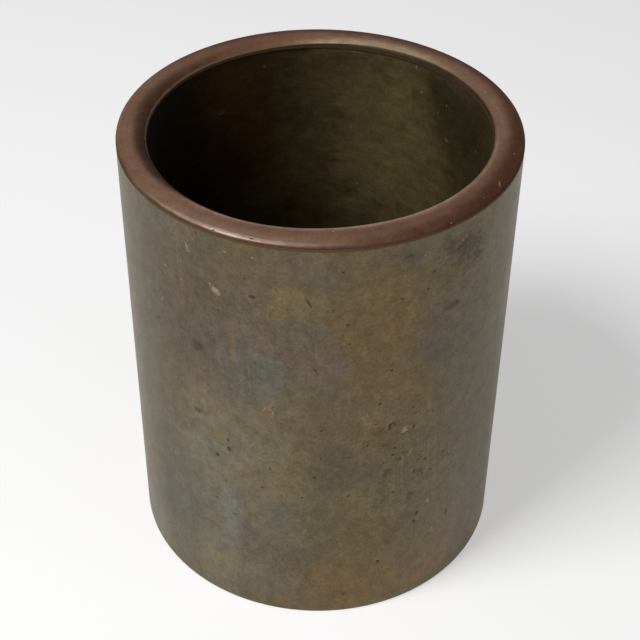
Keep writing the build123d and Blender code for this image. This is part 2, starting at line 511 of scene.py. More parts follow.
# Patches of the outside: colour, degrees round from the front (to the right), height,
# half width and half height in millimetres, and strength
OUTSIDE_PATCHES = (
    ("moss", -52, 118, 6, 8, 0.6),
    ("umber", -58, 96, 3.5, 4, 0.35),
    ("teal", -65, 87, 4, 6, 0.6),
    ("violet", -52, 97, 6, 6, 0.5),
    ("mauve", -57, 74, 6, 7, 0.5),
    ("umber", -52, 68, 3, 4, 0.25),
    ("teal", -54, 34, 4.5, 17, 0.8),
    ("straw", -60, 12, 5, 5, 0.4),
    ("ochre", -42, 121, 1.3, 9, 0.7),
    ("ochre", -40, 130, 4, 2, 0.5),
    ("violet", -36, 118, 6, 9, 0.8),
    ("violet", -37, 98, 9, 10, 0.8),
    ("mauve", -31, 90, 7, 7, 0.5),
    ("violet", -44, 96, 5, 8, 0.6),
    ("slate", -43, 36, 6, 10, 0.8),
    ("mauve", -45, 13, 7, 6, 0.6),
    ("slate", -43, 25, 5, 6, 0.5),
    ("straw", -33, 60, 7, 14, 0.9),
    ("straw", -28, 50, 7, 10, 0.8),
    ("straw", -30, 74, 7, 7, 0.7),
    ("straw", -28, 86, 2, 2.5, 0.4),
    ("mauve", -35, 37, 4, 6, 0.5),
    ("straw", -35, 37, 5, 7, 0.7),
    ("frost", -27, 38, 3.2, 9, 0.95),
    ("frost", -28, 26, 2.6, 7, 0.8),
    ("frost", -25, 47, 2.2, 5, 0.6),
    ("straw", -33, 14, 6, 10, 0.9),
    ("mauve", -26, 9, 4, 6, 0.4),
    ("mauve", -22, 8, 3, 4, 0.6),
    ("violet", -33, 28, 5, 2.5, 0.3),
    ("mauve", -17, 106, 6, 6, 0.8),
    ("slate", -17, 92, 7, 6, 0.9),
    ("mauve", -19, 116, 6, 5, 0.3),
    ("amber", -14, 80, 1.6, 4.5, 0.7),
    ("straw", -18, 72, 5, 8, 0.45),
    ("mauve", -14, 66, 3, 3, 0.5),
    ("straw", -18, 63, 6, 3.5, 0.8),
    ("amber", -16, 54, 7, 6, 0.75),
    ("amber", -9, 52, 5, 8, 0.7),
    ("mauve", -15, 32, 7, 9, 0.4),
    ("straw", -15, 33, 7, 9, 0.4),
    ("slate", -13, 40, 4, 4, 0.3),
    ("mauve", -14, 12, 8, 6, 0.6),
    ("amber", -7, 118, 7, 5, 0.8),
    ("mauve", -8, 128, 12, 4, 0.6),
    ("mauve", -6, 101, 6, 9, 0.6),
    ("mauve", 4, 97, 4, 5.5, 0.8),
    ("slate", -2, 109, 5, 5, 0.3),
    ("violet", 7, 57, 7, 8, 0.4),
    ("violet", 5, 76, 7, 9, 0.15),
    ("moss", 7, 30, 8, 10, 0.4),
    ("amber", -6, 37, 5, 7, 0.35),
    ("amber", -3, 64, 1, 4, 0.5),
    ("amber", 12, 46, 5, 4, 0.5),
    ("ochre", 8, 115, 5, 9, 0.4),
    ("slate", 3, 127, 5, 3.5, 0.4),
    ("ochre", 20, 114, 9, 10, 0.8),
    ("ochre", 14, 100, 5, 12, 0.8),
    ("ochre", 20, 92, 9, 10, 0.8),
    ("amber", 15, 77, 3, 6, 0.7),
    ("ochre", 15, 72, 4, 7, 0.6),
    ("ochre", 24, 76, 6, 5, 0.5),
    ("moss", 22, 60, 7, 10, 0.6),
    ("ochre", 17, 33, 5, 9, 0.4),
    ("moss", 25, 28, 5, 8, 0.6),
    ("ochre", 3, 9, 9, 7, 0.9),
    ("ochre", 18, 12, 9, 6, 0.9),
    ("ochre", 36, 12, 10, 6, 0.85),
    ("violet", 25, 129, 7, 3, 0.6),
    ("umber", 42, 125, 4.5, 3.5, 0.8),
    ("umber", 44, 120, 4.5, 3, 0.7),
    ("umber", 39, 128, 3, 2, 0.5),
    ("moss", 36, 117, 5, 5, 0.8),
    ("violet", 34, 98, 5, 7, 0.9),
    ("violet", 34, 108, 4, 4, 0.6),
    ("teal", 50, 98, 9, 13, 0.6),
    ("slate", 51, 120, 7, 6, 0.3),
    ("moss", 33, 80, 5, 8, 0.5),
    ("umber", 62, 76, 4, 10, 0.3),
    ("moss", 35, 55, 7, 12, 0.5),
    ("violet", 45, 62, 4, 5, 0.7),
    ("teal", 54, 58, 4, 6, 0.6),
    ("moss", 36, 30, 4, 6, 0.4),
    ("mauve", 50, 30, 6, 9, 0.3),
    ("moss", 62, 40, 4, 20, 0.6),
    ("umber", 55, 4, 9, 2, 0.3),
    # Painted shade: broad darkening down both far sides of the outside
    ("teal", 52, 75, 14, 40, 0.45),
    ("teal", -58, 70, 10, 60, 0.35),
    ("violet", -50, 115, 7, 16, 0.65),
    ("mauve", -44, 122, 5, 10, 0.6),
    ("violet", -50, 92, 6, 8, 0.4),
    # Painted shade: the right edge darkened, where less light falls than on the left
    ("umber", 64, 108, 4, 14, 0.35),
    ("moss", 61, 72, 4, 30, 0.7),
    ("umber", 63, 36, 7, 42, 0.62),
    ("teal", 60, 40, 8, 42, 0.5),
    ("teal", -49, 119, 6, 16, 0.35),
    ("violet", 38, 92, 6, 8, 0.45),
    ("mauve", 40, 104, 7, 6, 0.45),
    ("ochre", 62, 14, 5, 14, 0.6),
    ("straw", -20, 14, 6, 7, 0.6),
    ("straw", -8, 10, 6, 6, 0.4),
    ("frost", -13, 100, 3, 3, 0.3),
    ("frost", -21, 90, 9, 14, 0.42),
    ("mauve", -27, 103, 10, 9, 0.5),
    ("mauve", -20, 118, 9, 8, 0.4),
    ("frost", -11, 90, 6, 12, 0.35),
    ("frost", -19, 54, 9, 22, 0.35),
    ("straw", -13, 56, 8, 20, 0.35),
    ("frost", -27, 10, 7, 8, 0.45),
    ("umber", -49, 112, 6, 14, 0.3),
    ("ochre", -4, 116, 7, 4, 0.45),
)

# Dark smears of the outside: degrees, height, half width, half height and strength
OUTSIDE_SMEARS = (
    (-51.1, 96.7, 1.8, 1.0, 0.8),
    (-35.6, 95.5, 1.7, 1.5, 0.9),
    (-36.4, 73.0, 2.0, 1.5, 0.75),
    (-20.5, 73.5, 1.2, 0.8, 0.5),
    (-47.0, 110.0, 0.9, 1.1, 0.6),
    (38.6, 108.4, 2.6, 1.6, 0.8),
    (34.0, 106.0, 1.6, 1.0, 0.5),
    (45.0, 103.5, 1.8, 1.0, 0.6),
    (42.0, 126.0, 4.5, 2.5, 0.85),
    (46.0, 121.5, 3.0, 2.0, 0.75),
    (36.0, 128.5, 2.5, 1.2, 0.6),
    (24.0, 130.0, 3.5, 1.2, 0.55),
    (56.0, 106.8, 1.2, 1.0, 0.6),
    (57.0, 118.0, 1.4, 1.8, 0.6),
    (56.0, 96.3, 1.2, 1.0, 0.6),
    (63.7, 112.8, 1.0, 1.0, 0.6),
    (52.0, 83.6, 1.7, 0.9, 0.6),
    (20.8, 55.0, 2.0, 2.5, 0.7),
    (24.5, 61.0, 2.2, 2.2, 0.7),
    (30.5, 52.0, 2.5, 1.8, 0.6),
    (28.7, 43.4, 2.2, 2.2, 0.7),
    (35.0, 40.5, 1.8, 1.6, 0.5),
    (22.5, 27.0, 1.6, 2.6, 0.5),
    (9.2, 8.4, 1.8, 1.5, 0.6),
    (-2.2, 32.8, 1.2, 1.2, 0.45),
    (6.0, 121.0, 2.5, 0.8, 0.45),
    (14.0, 124.0, 2.5, 0.9, 0.45),
)

# Places where upright pale fibres show: the same values
FIBRE_ZONES = (
    (-23, 96, 3.5, 12, 0.9),
    (-27, 72, 8, 10, 0.9),
    (-14, 74, 5, 9, 0.8),
    (-41, 122, 2, 9, 0.8),
    (-30, 50, 8, 8, 0.5),
    (16, 75, 3, 5, 0.9),
    (28, 55, 10, 14, 0.6),
    (30, 85, 8, 8, 0.4),
)

# Places where fine dark specks crowd: the same values
SPECK_ZONES = (
    (28, 58, 15, 19, 0.9),
    (50, 110, 11, 15, 0.8),
    (42, 124, 7, 7, 0.9),
    (-38, 64, 7, 7, 0.5),
    (-20, 112, 12, 12, 0.35),
    (20, 95, 14, 26, 0.3),
    (-12, 55, 18, 12, 0.3),
)

# Pits and dark spots of the outside: degrees, height, half width, half height and depth in
# millimetres, and for a scratch its lean in degrees
PITS = (
    (-17.5, 118.3, 1.3, 0.75, 0.115),
    (-19.7, 123.7, 0.5, 0.4, 0.1),
    (-27.6, 111.0, 0.5, 0.6, 0.12),
    (-37.6, 101.1, 0.5, 0.4, 0.12),
    (-41.1, 99.2, 0.5, 0.5, 0.1),
    (3.9, 116.2, 0.7, 0.4, 0.1),
    (6.3, 128.0, 0.8, 0.4, 0.1),
    (7.8, 111.1, 0.5, 0.5, 0.2),
    (3.7, 109.2, 0.5, 0.4, 0.08),
    (8.4, 104.9, 0.5, 0.4, 0.12),
    (20.4, 93.6, 0.55, 0.5, 0.2),
    (17.5, 82.5, 0.6, 0.6, 0.2),
    (9.8, 85.1, 0.4, 0.5, 0.08),
    (18.4, 89.5, 0.5, 0.4, 0.08),
    (27.8, 78.0, 0.5, 0.5, 0.15),
    (20.7, 72.5, 0.75, 0.75, 0.2),
    (20.8, 73.6, 0.5, 0.9, 0.16, 20),
    (21.6, 74.3, 0.9, 0.45, 0.15, -15),
    (22.4, 73.6, 0.5, 0.7, 0.12),
    (21.6, 73.1, 0.9, 0.8, 0.07),
    (28.6, 70.6, 0.6, 0.7, 0.2),
    (1.1, 74.8, 0.4, 0.5, 0.15),
    (27.3, 125.2, 0.6, 0.4, 0.1),
    (22.3, 117.0, 0.6, 0.4, 0.12),
    (30.2, 117.6, 0.6, 0.5, 0.2),
    (31.6, 122.7, 0.7, 0.5, 0.15),
    (23.9, 112.7, 0.35, 0.5, 0.12),
    (19.7, 131.2, 0.5, 0.4, 0.1),
    (14.3, 67.8, 0.6, 0.5, 0.15),
    (34.9, 73.4, 0.5, 0.5, 0.1),
    (-26.2, 62.4, 0.9, 1.1, 0.12),
    (-26.4, 65.5, 0.5, 0.7, 0.15),
    (-30.3, 58.2, 0.8, 0.7, 0.2),
    (-27.7, 49.1, 0.6, 0.8, 0.09),
    (-31.3, 40.7, 0.5, 0.5, 0.1),
    (-25.1, 36.7, 1.5, 0.5, 0.08),
    (-13.7, 58.9, 0.5, 0.4, 0.1),
    (-16.0, 50.9, 0.5, 0.4, 0.15),
    (-11.2, 57.4, 0.5, 0.4, 0.1),
    (-0.7, 57.0, 0.45, 0.6, 0.18),
    (1.1, 64.4, 0.35, 0.8, 0.12),
    (1.7, 57.5, 0.4, 0.5, 0.1),
    (-4.3, 48.9, 0.6, 0.4, 0.18),
    (-5.7, 48.5, 0.4, 0.3, 0.1),
    (9.2, 49.3, 0.5, 0.5, 0.12),
    (22.6, 64.8, 0.4, 0.7, 0.18),
    (22.2, 62.1, 0.7, 0.5, 0.18),
    (25.2, 62.3, 0.4, 0.4, 0.12),
    (24.6, 59.9, 0.4, 0.7, 0.15),
    (21.4, 52.0, 0.5, 0.5, 0.1),
    (23.0, 47.2, 0.6, 0.7, 0.12),
    (19.2, 19.3, 0.7, 0.8, 0.25),
    (16.6, 24.0, 0.5, 0.4, 0.1),
    (14.0, 12.3, 0.6, 0.5, 0.08),
    (31.6, 34.7, 0.9, 1, 0.15),
    (30.7, 31.9, 0.6, 0.7, 0.15),
    (43.9, 27.8, 0.6, 2, 0.12),
    (30.8, 56.8, 0.8, 0.5, 0.12),
    (33.2, 56.1, 0.5, 0.8, 0.12),
    (28.4, 55.0, 0.5, 0.5, 0.1),
    (31.0, 51.1, 0.5, 0.5, 0.1),
    (32.4, 50.7, 0.6, 0.5, 0.12),
    (35.4, 50.8, 0.9, 0.5, 0.12),
    (34.4, 47.5, 0.8, 0.5, 0.1),
    (40.4, 55.3, 0.9, 0.5, 0.1),
    (38.6, 59.3, 0.5, 0.5, 0.1),
    (42.9, 52.1, 0.6, 0.4, 0.1),
    (-2.6, 118.6, 0.3, 2.1, 0.15, -30),
    (-0.6, 96.1, 0.28, 1.8, 0.13, -28),
    (2.4, 51.8, 0.25, 1.0, 0.08, 25),
    (12.5, 81.0, 0.25, 1.0, 0.06, -10),
    (13.9, 77.6, 0.25, 1.2, 0.07, -20),
    (14.3, 75.8, 0.25, 1.4, 0.06, -3),
    (-11.9, 80.3, 0.5, 0.6, 0.06),
)

# Pale chips and fine pale strokes of the outside: the same values
CHIPS = (
    (-37.2, 127.6, 0.35, 1.3, 0.08, -15),
    (-36.6, 126.4, 0.6, 0.5, 0.08),
    (-28.2, 117.0, 1.2, 2.0, 0.1, -48),
    (-29.9, 118.5, 0.4, 0.9, 0.06, -10),
    (25.2, 70.8, 0.9, 1.5, 0.035, 40),
    (25.7, 70.2, 1.2, 0.5, 0.05, -20),
    (-34.8, 130.7, 0.4, 0.4, 0.05),
    (-46.1, 117.1, 0.5, 0.4, 0.05),
    (-48.7, 104.7, 0.35, 0.8, 0.05),
    (-21.6, 89.2, 0.4, 0.3, 0.04),
    (-19.4, 85.1, 0.5, 0.3, 0.04),
    (-25.0, 130.4, 0.7, 0.4, 0.05),
    (-17.4, 130.6, 0.5, 0.35, 0.05),
    (41.0, 128.5, 0.6, 0.3, 0.05),
    (28.6, 128.6, 0.5, 0.3, 0.03),
    (46.1, 71.7, 0.4, 0.35, 0.05),
    (-40.8, 64.1, 0.4, 0.6, 0.05),
    (35.3, 38.0, 0.4, 1.1, 0.06, 40),
    (35.9, 37.3, 0.35, 0.8, 0.06, -35),
    (38.2, 24.2, 0.4, 1.6, 0.05, 30),
    (38.9, 23.0, 0.35, 1.0, 0.045, 45),
    (-14.9, 81.0, 0.35, 1.6, 0.04, 28),
    (-13.4, 81.4, 0.3, 1.1, 0.035, 5),
    (-12.6, 79.6, 0.35, 1.7, 0.04, 8),
    (12.6, 78.8, 0.3, 0.9, 0.032, -12),
    (13.2, 78.0, 0.3, 0.9, 0.032, -15),
    (13.9, 79.2, 0.3, 0.9, 0.03, -25),
)

# Patches of the rim's top, with painted shade, sheen and highlights among them: the same values as the
# outside's, with the radius as the height
RIM_PATCHES = (
    ("rim_red", 15, 49.6, 14, 0.9, 0.5),
    ("rim_red", 40, 49.8, 12, 1.0, 0.55),
    ("rim_red", 205, 49.5, 13, 4.0, 0.55),
    ("rim_red", 230, 50.0, 10, 2.0, 0.4),
    # Painted shade on the inner slope's left side, which faces away from the key lamp
    ("rim_slope_shade", 225, 47.6, 9, 2.0, 0.6),
    ("rim_slope_shade", 245, 47.7, 10, 2.2, 0.85),
    ("rim_slope_shade", 262, 47.7, 10, 2.1, 0.9),
    ("rim_slope_shade", 280, 47.7, 10, 1.8, 0.9),
    ("rim_slope_shade", 297, 47.7, 8, 1.4, 0.85),
    # Painted shade: near black where the inner slope on the left is darkest
    ("rim_slope_deep_shade", 258, 46.9, 8, 0.8, 0.6),
    ("rim_slope_deep_shade", 271, 47.0, 8, 1.0, 0.78),
    ("rim_slope_deep_shade", 284, 47.3, 8, 1.6, 0.96),
    ("rim_slope_deep_shade", 298, 47.2, 8, 1.5, 0.96),
    ("rim_slope_deep_shade", 311, 47.0, 7, 1.0, 0.9),
    # Painted shade: the outer half darkened round the right and the back
    ("rim_shadow", 15, 54.2, 8, 1.5, 0.4),
    ("rim_shadow", 29, 53.6, 11, 2.2, 0.62),
    ("rim_shadow", 45, 53.9, 11, 2.3, 0.76),
    ("rim_shadow", 60, 53.6, 12, 2.6, 0.88),
    ("rim_shadow", 75, 53.6, 12, 2.3, 0.88),
    ("rim_shadow", 90, 53.8, 12, 1.9, 0.85),
    ("rim_shadow", 106, 54.2, 12, 1.7, 0.8),
    ("rim_shadow", 125, 54.2, 14, 1.6, 0.75),
    ("rim_shadow", 150, 54.0, 18, 1.8, 0.75),
    ("rim_shadow", 180, 54.0, 20, 1.8, 0.75),
    ("rim_shadow", 210, 54.0, 18, 1.8, 0.7),
    ("rim_shadow", 292, 55.0, 8, 0.6, 0.6),
    ("rim_shadow", 36, 54.9, 10, 0.9, 0.6),
    ("rim_shadow", 51, 54.9, 10, 1.0, 0.7),
    ("rim_shadow", 67, 54.9, 10, 1.0, 0.6),
    # Painted sheen beside the glints of the outer edge and of the inner slope
    ("rim_sheen", 316, 53.3, 8, 1.5, 0.6),
    ("rim_sheen", 332, 53.4, 10, 1.5, 0.7),
    ("rim_sheen", 348, 53.4, 9, 1.5, 0.7),
    ("rim_sheen", 2, 53.9, 8, 1.1, 0.4),
    ("rim_sheen", 110, 48.6, 16, 1.6, 0.5),
    # Painted highlight: the key lamp's glint on the inner slope at the back
    ("rim_inner_highlight_and_burnish", 136, 47.5, 9, 1.3, 0.5),
    ("rim_inner_highlight_and_burnish", 150, 47.3, 9, 1.7, 0.94),
    ("rim_inner_highlight_and_burnish", 165, 47.2, 9, 1.6, 0.88),
    ("rim_inner_highlight_and_burnish", 180, 47.0, 8, 1.2, 0.3),
    # Burnish and painted highlight: the bright line along the inner edge at the front
    ("rim_inner_highlight_and_burnish", 322, 48.9, 5, 0.5, 0.4),
    ("rim_inner_highlight_and_burnish", 331, 48.5, 7, 0.5, 0.6),
    ("rim_inner_highlight_and_burnish", 345, 47.9, 8, 0.5, 0.6),
    ("rim_inner_highlight_and_burnish", 0, 47.5, 8, 0.5, 0.55),
    ("rim_inner_highlight_and_burnish", 15, 47.2, 8, 0.6, 0.55),
    ("rim_inner_highlight_and_burnish", 31, 47.2, 8, 0.6, 0.55),
    ("rim_inner_highlight_and_burnish", 47, 47.2, 8, 0.6, 0.45),
    ("rim_inner_highlight_and_burnish", 63, 47.2, 8, 0.7, 0.4),
    ("rim_inner_highlight_and_burnish", 79, 47.3, 8, 0.9, 0.35),
    # Bare metal and painted highlight: the key lamp's glint on the outer edge
    ("rim_outer_highlight_and_bare_metal", 313, 54.3, 5, 0.35, 0.3),
    ("rim_outer_highlight_and_bare_metal", 323, 54.2, 6, 0.4, 0.6),
    ("rim_outer_highlight_and_bare_metal", 334, 54.15, 7, 0.46, 0.91),
    ("rim_outer_highlight_and_bare_metal", 346, 54.05, 7, 0.46, 0.78),
    ("rim_outer_highlight_and_bare_metal", 357, 54.0, 6, 0.4, 0.35),
    # Tarnish and painted dark reflection on the lower curve of the outer edge
    ("rim_fillet_oxide_and_dark_reflection", 315, 55.0, 8, 0.5, 0.88),
    ("rim_fillet_oxide_and_dark_reflection", 330, 55.0, 9, 0.62, 0.96),
    ("rim_fillet_oxide_and_dark_reflection", 346, 55.0, 9, 0.62, 0.96),
    ("rim_fillet_oxide_and_dark_reflection", 2, 55.0, 9, 0.5, 0.92),
    ("rim_fillet_oxide_and_dark_reflection", 17, 55.0, 8, 0.42, 0.8),
)

# Stains on the ring's inner face, and painted shade on its left: the same values, with the depth below the
# rim as the height
LIP_PATCHES = (
    ("lip_stain", 62, 1.8, 8, 1.1, 0.96),
    ("lip_stain", 76, 1.8, 8, 1.15, 0.96),
    ("lip_stain", 90, 1.8, 8, 1.15, 0.96),
    ("lip_stain", 104, 1.8, 7, 1.15, 0.96),
    ("lip_violet", 117, 1.9, 6, 1.15, 0.96),
    ("lip_violet", 126, 1.9, 4, 1.1, 0.92),
    ("lip_stain", 135, 2.0, 7, 1.15, 0.94),
    ("lip_olive", 149, 2.4, 7, 1.15, 0.95),
    ("lip_olive", 162, 2.4, 7, 1.15, 0.96),
    ("lip_olive", 175, 2.5, 6, 1.05, 0.94),
    ("lip_stain", 186, 2.3, 6, 0.75, 0.95),
    ("lip_stain", 198, 2.45, 6, 0.6, 0.9),
    ("lip_stain", 210, 2.6, 6, 0.45, 0.85),
    # Painted shade: the ring's inner face on the left
    ("lip_shade", 224, 2.6, 6, 0.6, 0.85),
    ("lip_shade", 237, 2.5, 7, 0.8, 0.9),
    ("lip_shade", 250, 2.3, 7, 1.0, 0.93),
    ("lip_shade", 263, 2.0, 7, 1.2, 0.95),
    ("lip_shade", 276, 1.8, 8, 1.3, 0.97),
    ("lip_shade", 290, 1.8, 8, 1.3, 0.97),
    ("lip_shade", 304, 1.8, 8, 1.2, 0.97),
)

# Nicks and pale flecks of the rim: degrees, radius, half width, half height and depth in
# millimetres, and for a scratch its lean in degrees
RIM_NICKS = (
    (342.3, 54.1, 0.6, 0.3, 0.1),
    (331.5, 54.5, 0.6, 0.25, 0.08),
    (322.0, 48.3, 0.7, 0.3, 0.1),
    (349.9, 47.4, 0.6, 0.3, 0.1),
    (13.4, 51.5, 1.4, 0.4, 0.008, 12),
    (24.3, 52.1, 0.5, 0.3, 0.01),
    (35.4, 54.9, 0.5, 0.2, 0.02),
)
RIM_FLECKS = (
    (4.0, 48.7, 0.4, 0.22, 0.03),
    (4.7, 47.6, 0.3, 0.2, 0.03),
    (111.8, 49.4, 0.4, 0.3, 0.03),
    (59.3, 53.3, 1.5, 0.2, 0.02, 31),
    (104.8, 49.5, 1.1, 0.15, 0.012, -6),
    (101.0, 49.5, 1.1, 0.15, 0.012, 8),
    (97.6, 48.9, 0.9, 0.15, 0.01, 35),
    (75.7, 52.6, 0.3, 0.2, 0.02),
    (51.1, 53.2, 0.25, 0.2, 0.015),
    (36.4, 54.6, 0.35, 0.15, 0.02),
    (18.9, 53.3, 0.3, 0.15, 0.015),
    (322.5, 48.7, 0.4, 0.2, 0.015),
)

# Patches of the inside, with painted shade on its left and a painted glint among them: the same values,
# with the depth below the rim as the height
INSIDE_PATCHES = (
    # Painted sheen just under the ring, below the inner slope's glint
    ("lip_shine", 152, 2.9, 7, 0.7, 0.2),
    ("lip_shine", 171, 2.8, 9, 0.6, 0.6),
    ("inside_pale", 156, 34, 12, 20, 0.9),
    ("inside_pale", 162, 11, 11, 10, 0.4),
    ("inside_pale", 146, 22, 11, 14, 0.45),
    ("inside_pale", 150, 38, 8, 7, 0.35),
    ("inside_pale", 140, 44, 8, 8, 0.5),
    ("inside_dark", 112, 12, 13, 14, 0.95),
    ("inside_dark", 128, 9, 8, 8, 0.7),
    ("inside_dark", 131, 12, 4, 5, 0.6),
    ("inside_dark", 108, 30, 11, 10, 0.7),
    ("inside_dark", 190, 9, 9, 9, 0.35),
    ("inside_dark", 196, 8, 7, 40, 0.5),
    ("inside_red", 208, 14, 10, 24, 0.8),
    ("inside_red", 222, 16, 10, 22, 0.8),
    ("inside_red", 212, 44, 8, 14, 0.4),
    ("inside_dark", 185, 60, 22, 9, 0.6),
    # Painted shade: the inside's left, which faces away from the key lamp, made near black
    ("inside_stain_black_and_shade", 248, 30, 14, 70, 1.0),
    ("inside_stain_black_and_shade", 262, 40, 18, 90, 1.0),
    ("inside_mauve_stain_and_glint", 119, 3.0, 7, 2.6, 0.97),
    # Painted highlight: a faint mauve glint on the inside's dark left
    ("inside_mauve_stain_and_glint", 218, 18, 4, 2.5, 0.75),
    ("inside_red", 178, 44, 2.2, 2.2, 0.6),
    ("inside_dark", 169, 53, 2.5, 2.0, 0.7),
    ("inside_dark", 156, 54, 3.0, 2.5, 0.6),
    ("inside_dark", 149, 55, 2.5, 2.0, 0.6),
    ("inside_stain_black_and_shade", 182, 63, 2.5, 2.0, 0.7),
    ("inside_stain_black_and_shade", 191, 57, 2.2, 2.0, 0.7),
)

# Bright specks and one scratch of the inside: degrees, depth below the rim, half width, half
# height and depth, and the scratch's lean
INSIDE_FLECKS = (
    (141.3, 11.2, 0.5, 0.35, 0.03),
    (129.4, 11.5, 0.25, 0.45, 0.03),
    (133.2, 15.5, 0.3, 0.25, 0.03),
    (128.1, 22.9, 1.3, 0.22, 0.03, 20),
    (110.1, 18.3, 0.2, 0.6, 0.03),
    (144.0, 3.6, 0.4, 1.0, 0.02),
    (165.5, 49.7, 0.5, 0.4, 0.02),
    # Painted highlight: two faint flecks in the mauve glint on the inside's dark left
    (219.0, 19.2, 1.3, 0.5, 0.01),
    (217.3, 18.4, 1.0, 0.5, 0.007),
    (200.8, 7.3, 0.6, 0.6, 0.01),
)

# Colours of each face, in the order in which they are laid on
OUTSIDE_LAYERS = ("ochre", "amber", "mauve", "violet", "slate", "teal", "frost", "straw", "moss", "umber")
RIM_LAYERS = (
    "rim_red",
    "rim_slope_shade",
    "rim_slope_deep_shade",
    "rim_shadow",
    "rim_sheen",
    "rim_inner_highlight_and_burnish",
    "rim_outer_highlight_and_bare_metal",
    "rim_fillet_oxide_and_dark_reflection",
)
LIP_LAYERS = ("lip_stain", "lip_olive", "lip_violet", "lip_shade")
INSIDE_LAYERS = ("inside_pale", "inside_dark", "inside_red", "inside_stain_black_and_shade", "inside_mauve_stain_and_glint", "lip_shine")

# Patches scattered over the side that faces away from the front: the seed of all that is
# scattered there, how many, their colours, and the least and most of their degrees, half widths,
# half heights and strengths
REAR_SEED = 11
REAR_PATCHES = 70
REAR_KINDS = "ochre ochre mauve violet slate teal straw straw moss moss amber frost".split()
REAR_TURNS = (76, 284)
REAR_HALF_WIDTHS = (3, 11)
REAR_HALF_HEIGHTS = (4, 14)
REAR_STRENGTHS = (0.35, 0.9)

# Pits scattered there: how many, their half sizes, degrees and depths, and how far they keep
# from the foot and from the top
REAR_PITS = 40
REAR_PIT_SIZES = (0.35, 0.9)
REAR_PIT_TURNS = (66, 294)
REAR_PIT_DEPTHS = (0.1, 0.22)
REAR_PIT_FOOT = 4
REAR_PIT_HEAD = 3

# Faces are divided this far beyond a mark, in millimetres, and further on the coarser inside
MARK_MARGIN = 0.55
INSIDE_MARK_MARGIN = 1.2
# Shares of a mark's reach up to which it is at full depth, and at which it ends
MARK_CORE = 0.45
MARK_END = 1.15

# How a patch weighs against its neighbours: gain, the strength that would hide them all, and
# how fast it falls off
PATCH_GAIN = 1.2
PATCH_TOP = 1.05
PATCH_FALL = 1.2
# Patches smaller than this, in millimetres, have calmer edges
RAGGED_SIZE = 6
# Seed, pushes in millimetres, and lengths of the waves that make the edges ragged. Without a
# fixed seed the waves would differ from run to run
RAGGED_SEED = 1795895776
BROAD_PUSH = 3.4
BROAD_WAVE = 13 * MM
SMALL_PUSH = 1.7
SMALL_WAVE = 4 * MM

# Fall of the ring's inner edge, as shares of the section's own: the least, and what the rounder
# side adds. It grows between two angles from the sharpest side, in degrees
LIP_LEAST = 0.15
LIP_ADDED = 1.85
LIP_TURNS = (60, 130)

# Range in which most values of a noise lie
NOISE_LOW = 0.3
NOISE_HIGH = 0.7


def rear_patches(draw):
    """More patches of the same kinds for the side that faces away from the front."""
    top = WALL_TOP / MM
    return [
        (
            draw.choice(REAR_KINDS),
            draw.uniform(*REAR_TURNS),
            draw.uniform(0, top),
            draw.uniform(*REAR_HALF_WIDTHS),
            draw.uniform(*REAR_HALF_HEIGHTS),
            draw.uniform(*REAR_STRENGTHS),
        )
        for _ in range(REAR_PATCHES)
    ]


def rear_pits(draw):
    """More pits for the side that faces away from the front."""
    pits = []
    for _ in range(REAR_PITS):
        half = draw.uniform(*REAR_PIT_SIZES)
        degrees = draw.uniform(*REAR_PIT_TURNS)
        height = draw.uniform(REAR_PIT_FOOT, WALL_TOP / MM - REAR_PIT_HEAD)
        pits.append((degrees, height, half, half, draw.uniform(*REAR_PIT_DEPTHS)))
    return pits


class Chart:
    """Where the points of one face of a turned piece lie: how far round, and a height across it.

    Widths on the inside and on the ring's inner face are measured round the rebate's radius.
    """

    def __init__(self, points, kind):
        radius = np.hypot(points[:, 0], points[:, 1])
        self.turn = np.arctan2(points[:, 0], -points[:, 1])
        self.radius = radius
        if kind == "outside":
            self.height = points[:, 2] / MM
            self.on = radius > OUTER_RADIUS - SKIN
            self.girth = OUTER_RADIUS / MM
        elif kind == "rim":
            self.height = radius / MM
            self.on = points[:, 2] > RING_SEAT
            self.girth = radius / MM
        else:
            self.height = (RIM_TOP - points[:, 2]) / MM
            self.on = radius < (LIP_REACH if kind == "lip" else INSIDE_REACH)
            self.girth = REBATE_RADIUS / MM

    def offsets(self, degrees, height, lean=0.0):
        """How far each point lies across and up from a place, in millimetres."""
        around = (self.turn - math.radians(degrees) + math.pi) % (2 * math.pi) - math.pi
        across, up = around * self.girth, self.height - height
        if lean:
            side, along = math.sin(math.radians(lean)), math.cos(math.radians(lean))
            across, up = across * along - up * side, across * side + up * along
        return across, up


def refine_marks(mesh, marks, kind, cuts=3):
    """Divides the faces round each mark, so that the mark has a shape of its own."""
    work = bmesh.new()
    work.from_mesh(mesh)
    work.faces.ensure_lookup_table()
    chart = Chart(np.array([face.calc_center_median()[:] for face in work.faces]), kind)
    near = np.zeros(len(chart.turn), bool)
    margin = INSIDE_MARK_MARGIN if kind == "inside" else MARK_MARGIN
    for degrees, height, half_width, half_height, _, *lean in marks:
        across, up = chart.offsets(degrees, height, *lean)
        near |= chart.on & (np.abs(across) < half_width + margin) & (np.abs(up) < half_height + margin)
    edges = {edge for i in np.flatnonzero(near) for edge in work.faces[i].edges}
    edges = sorted(edges, key=lambda edge: edge.index)
    bmesh.ops.subdivide_edges(work, edges=edges, cuts=cuts, use_grid_fill=True)
    work.to_mesh(mesh)
    work.free()


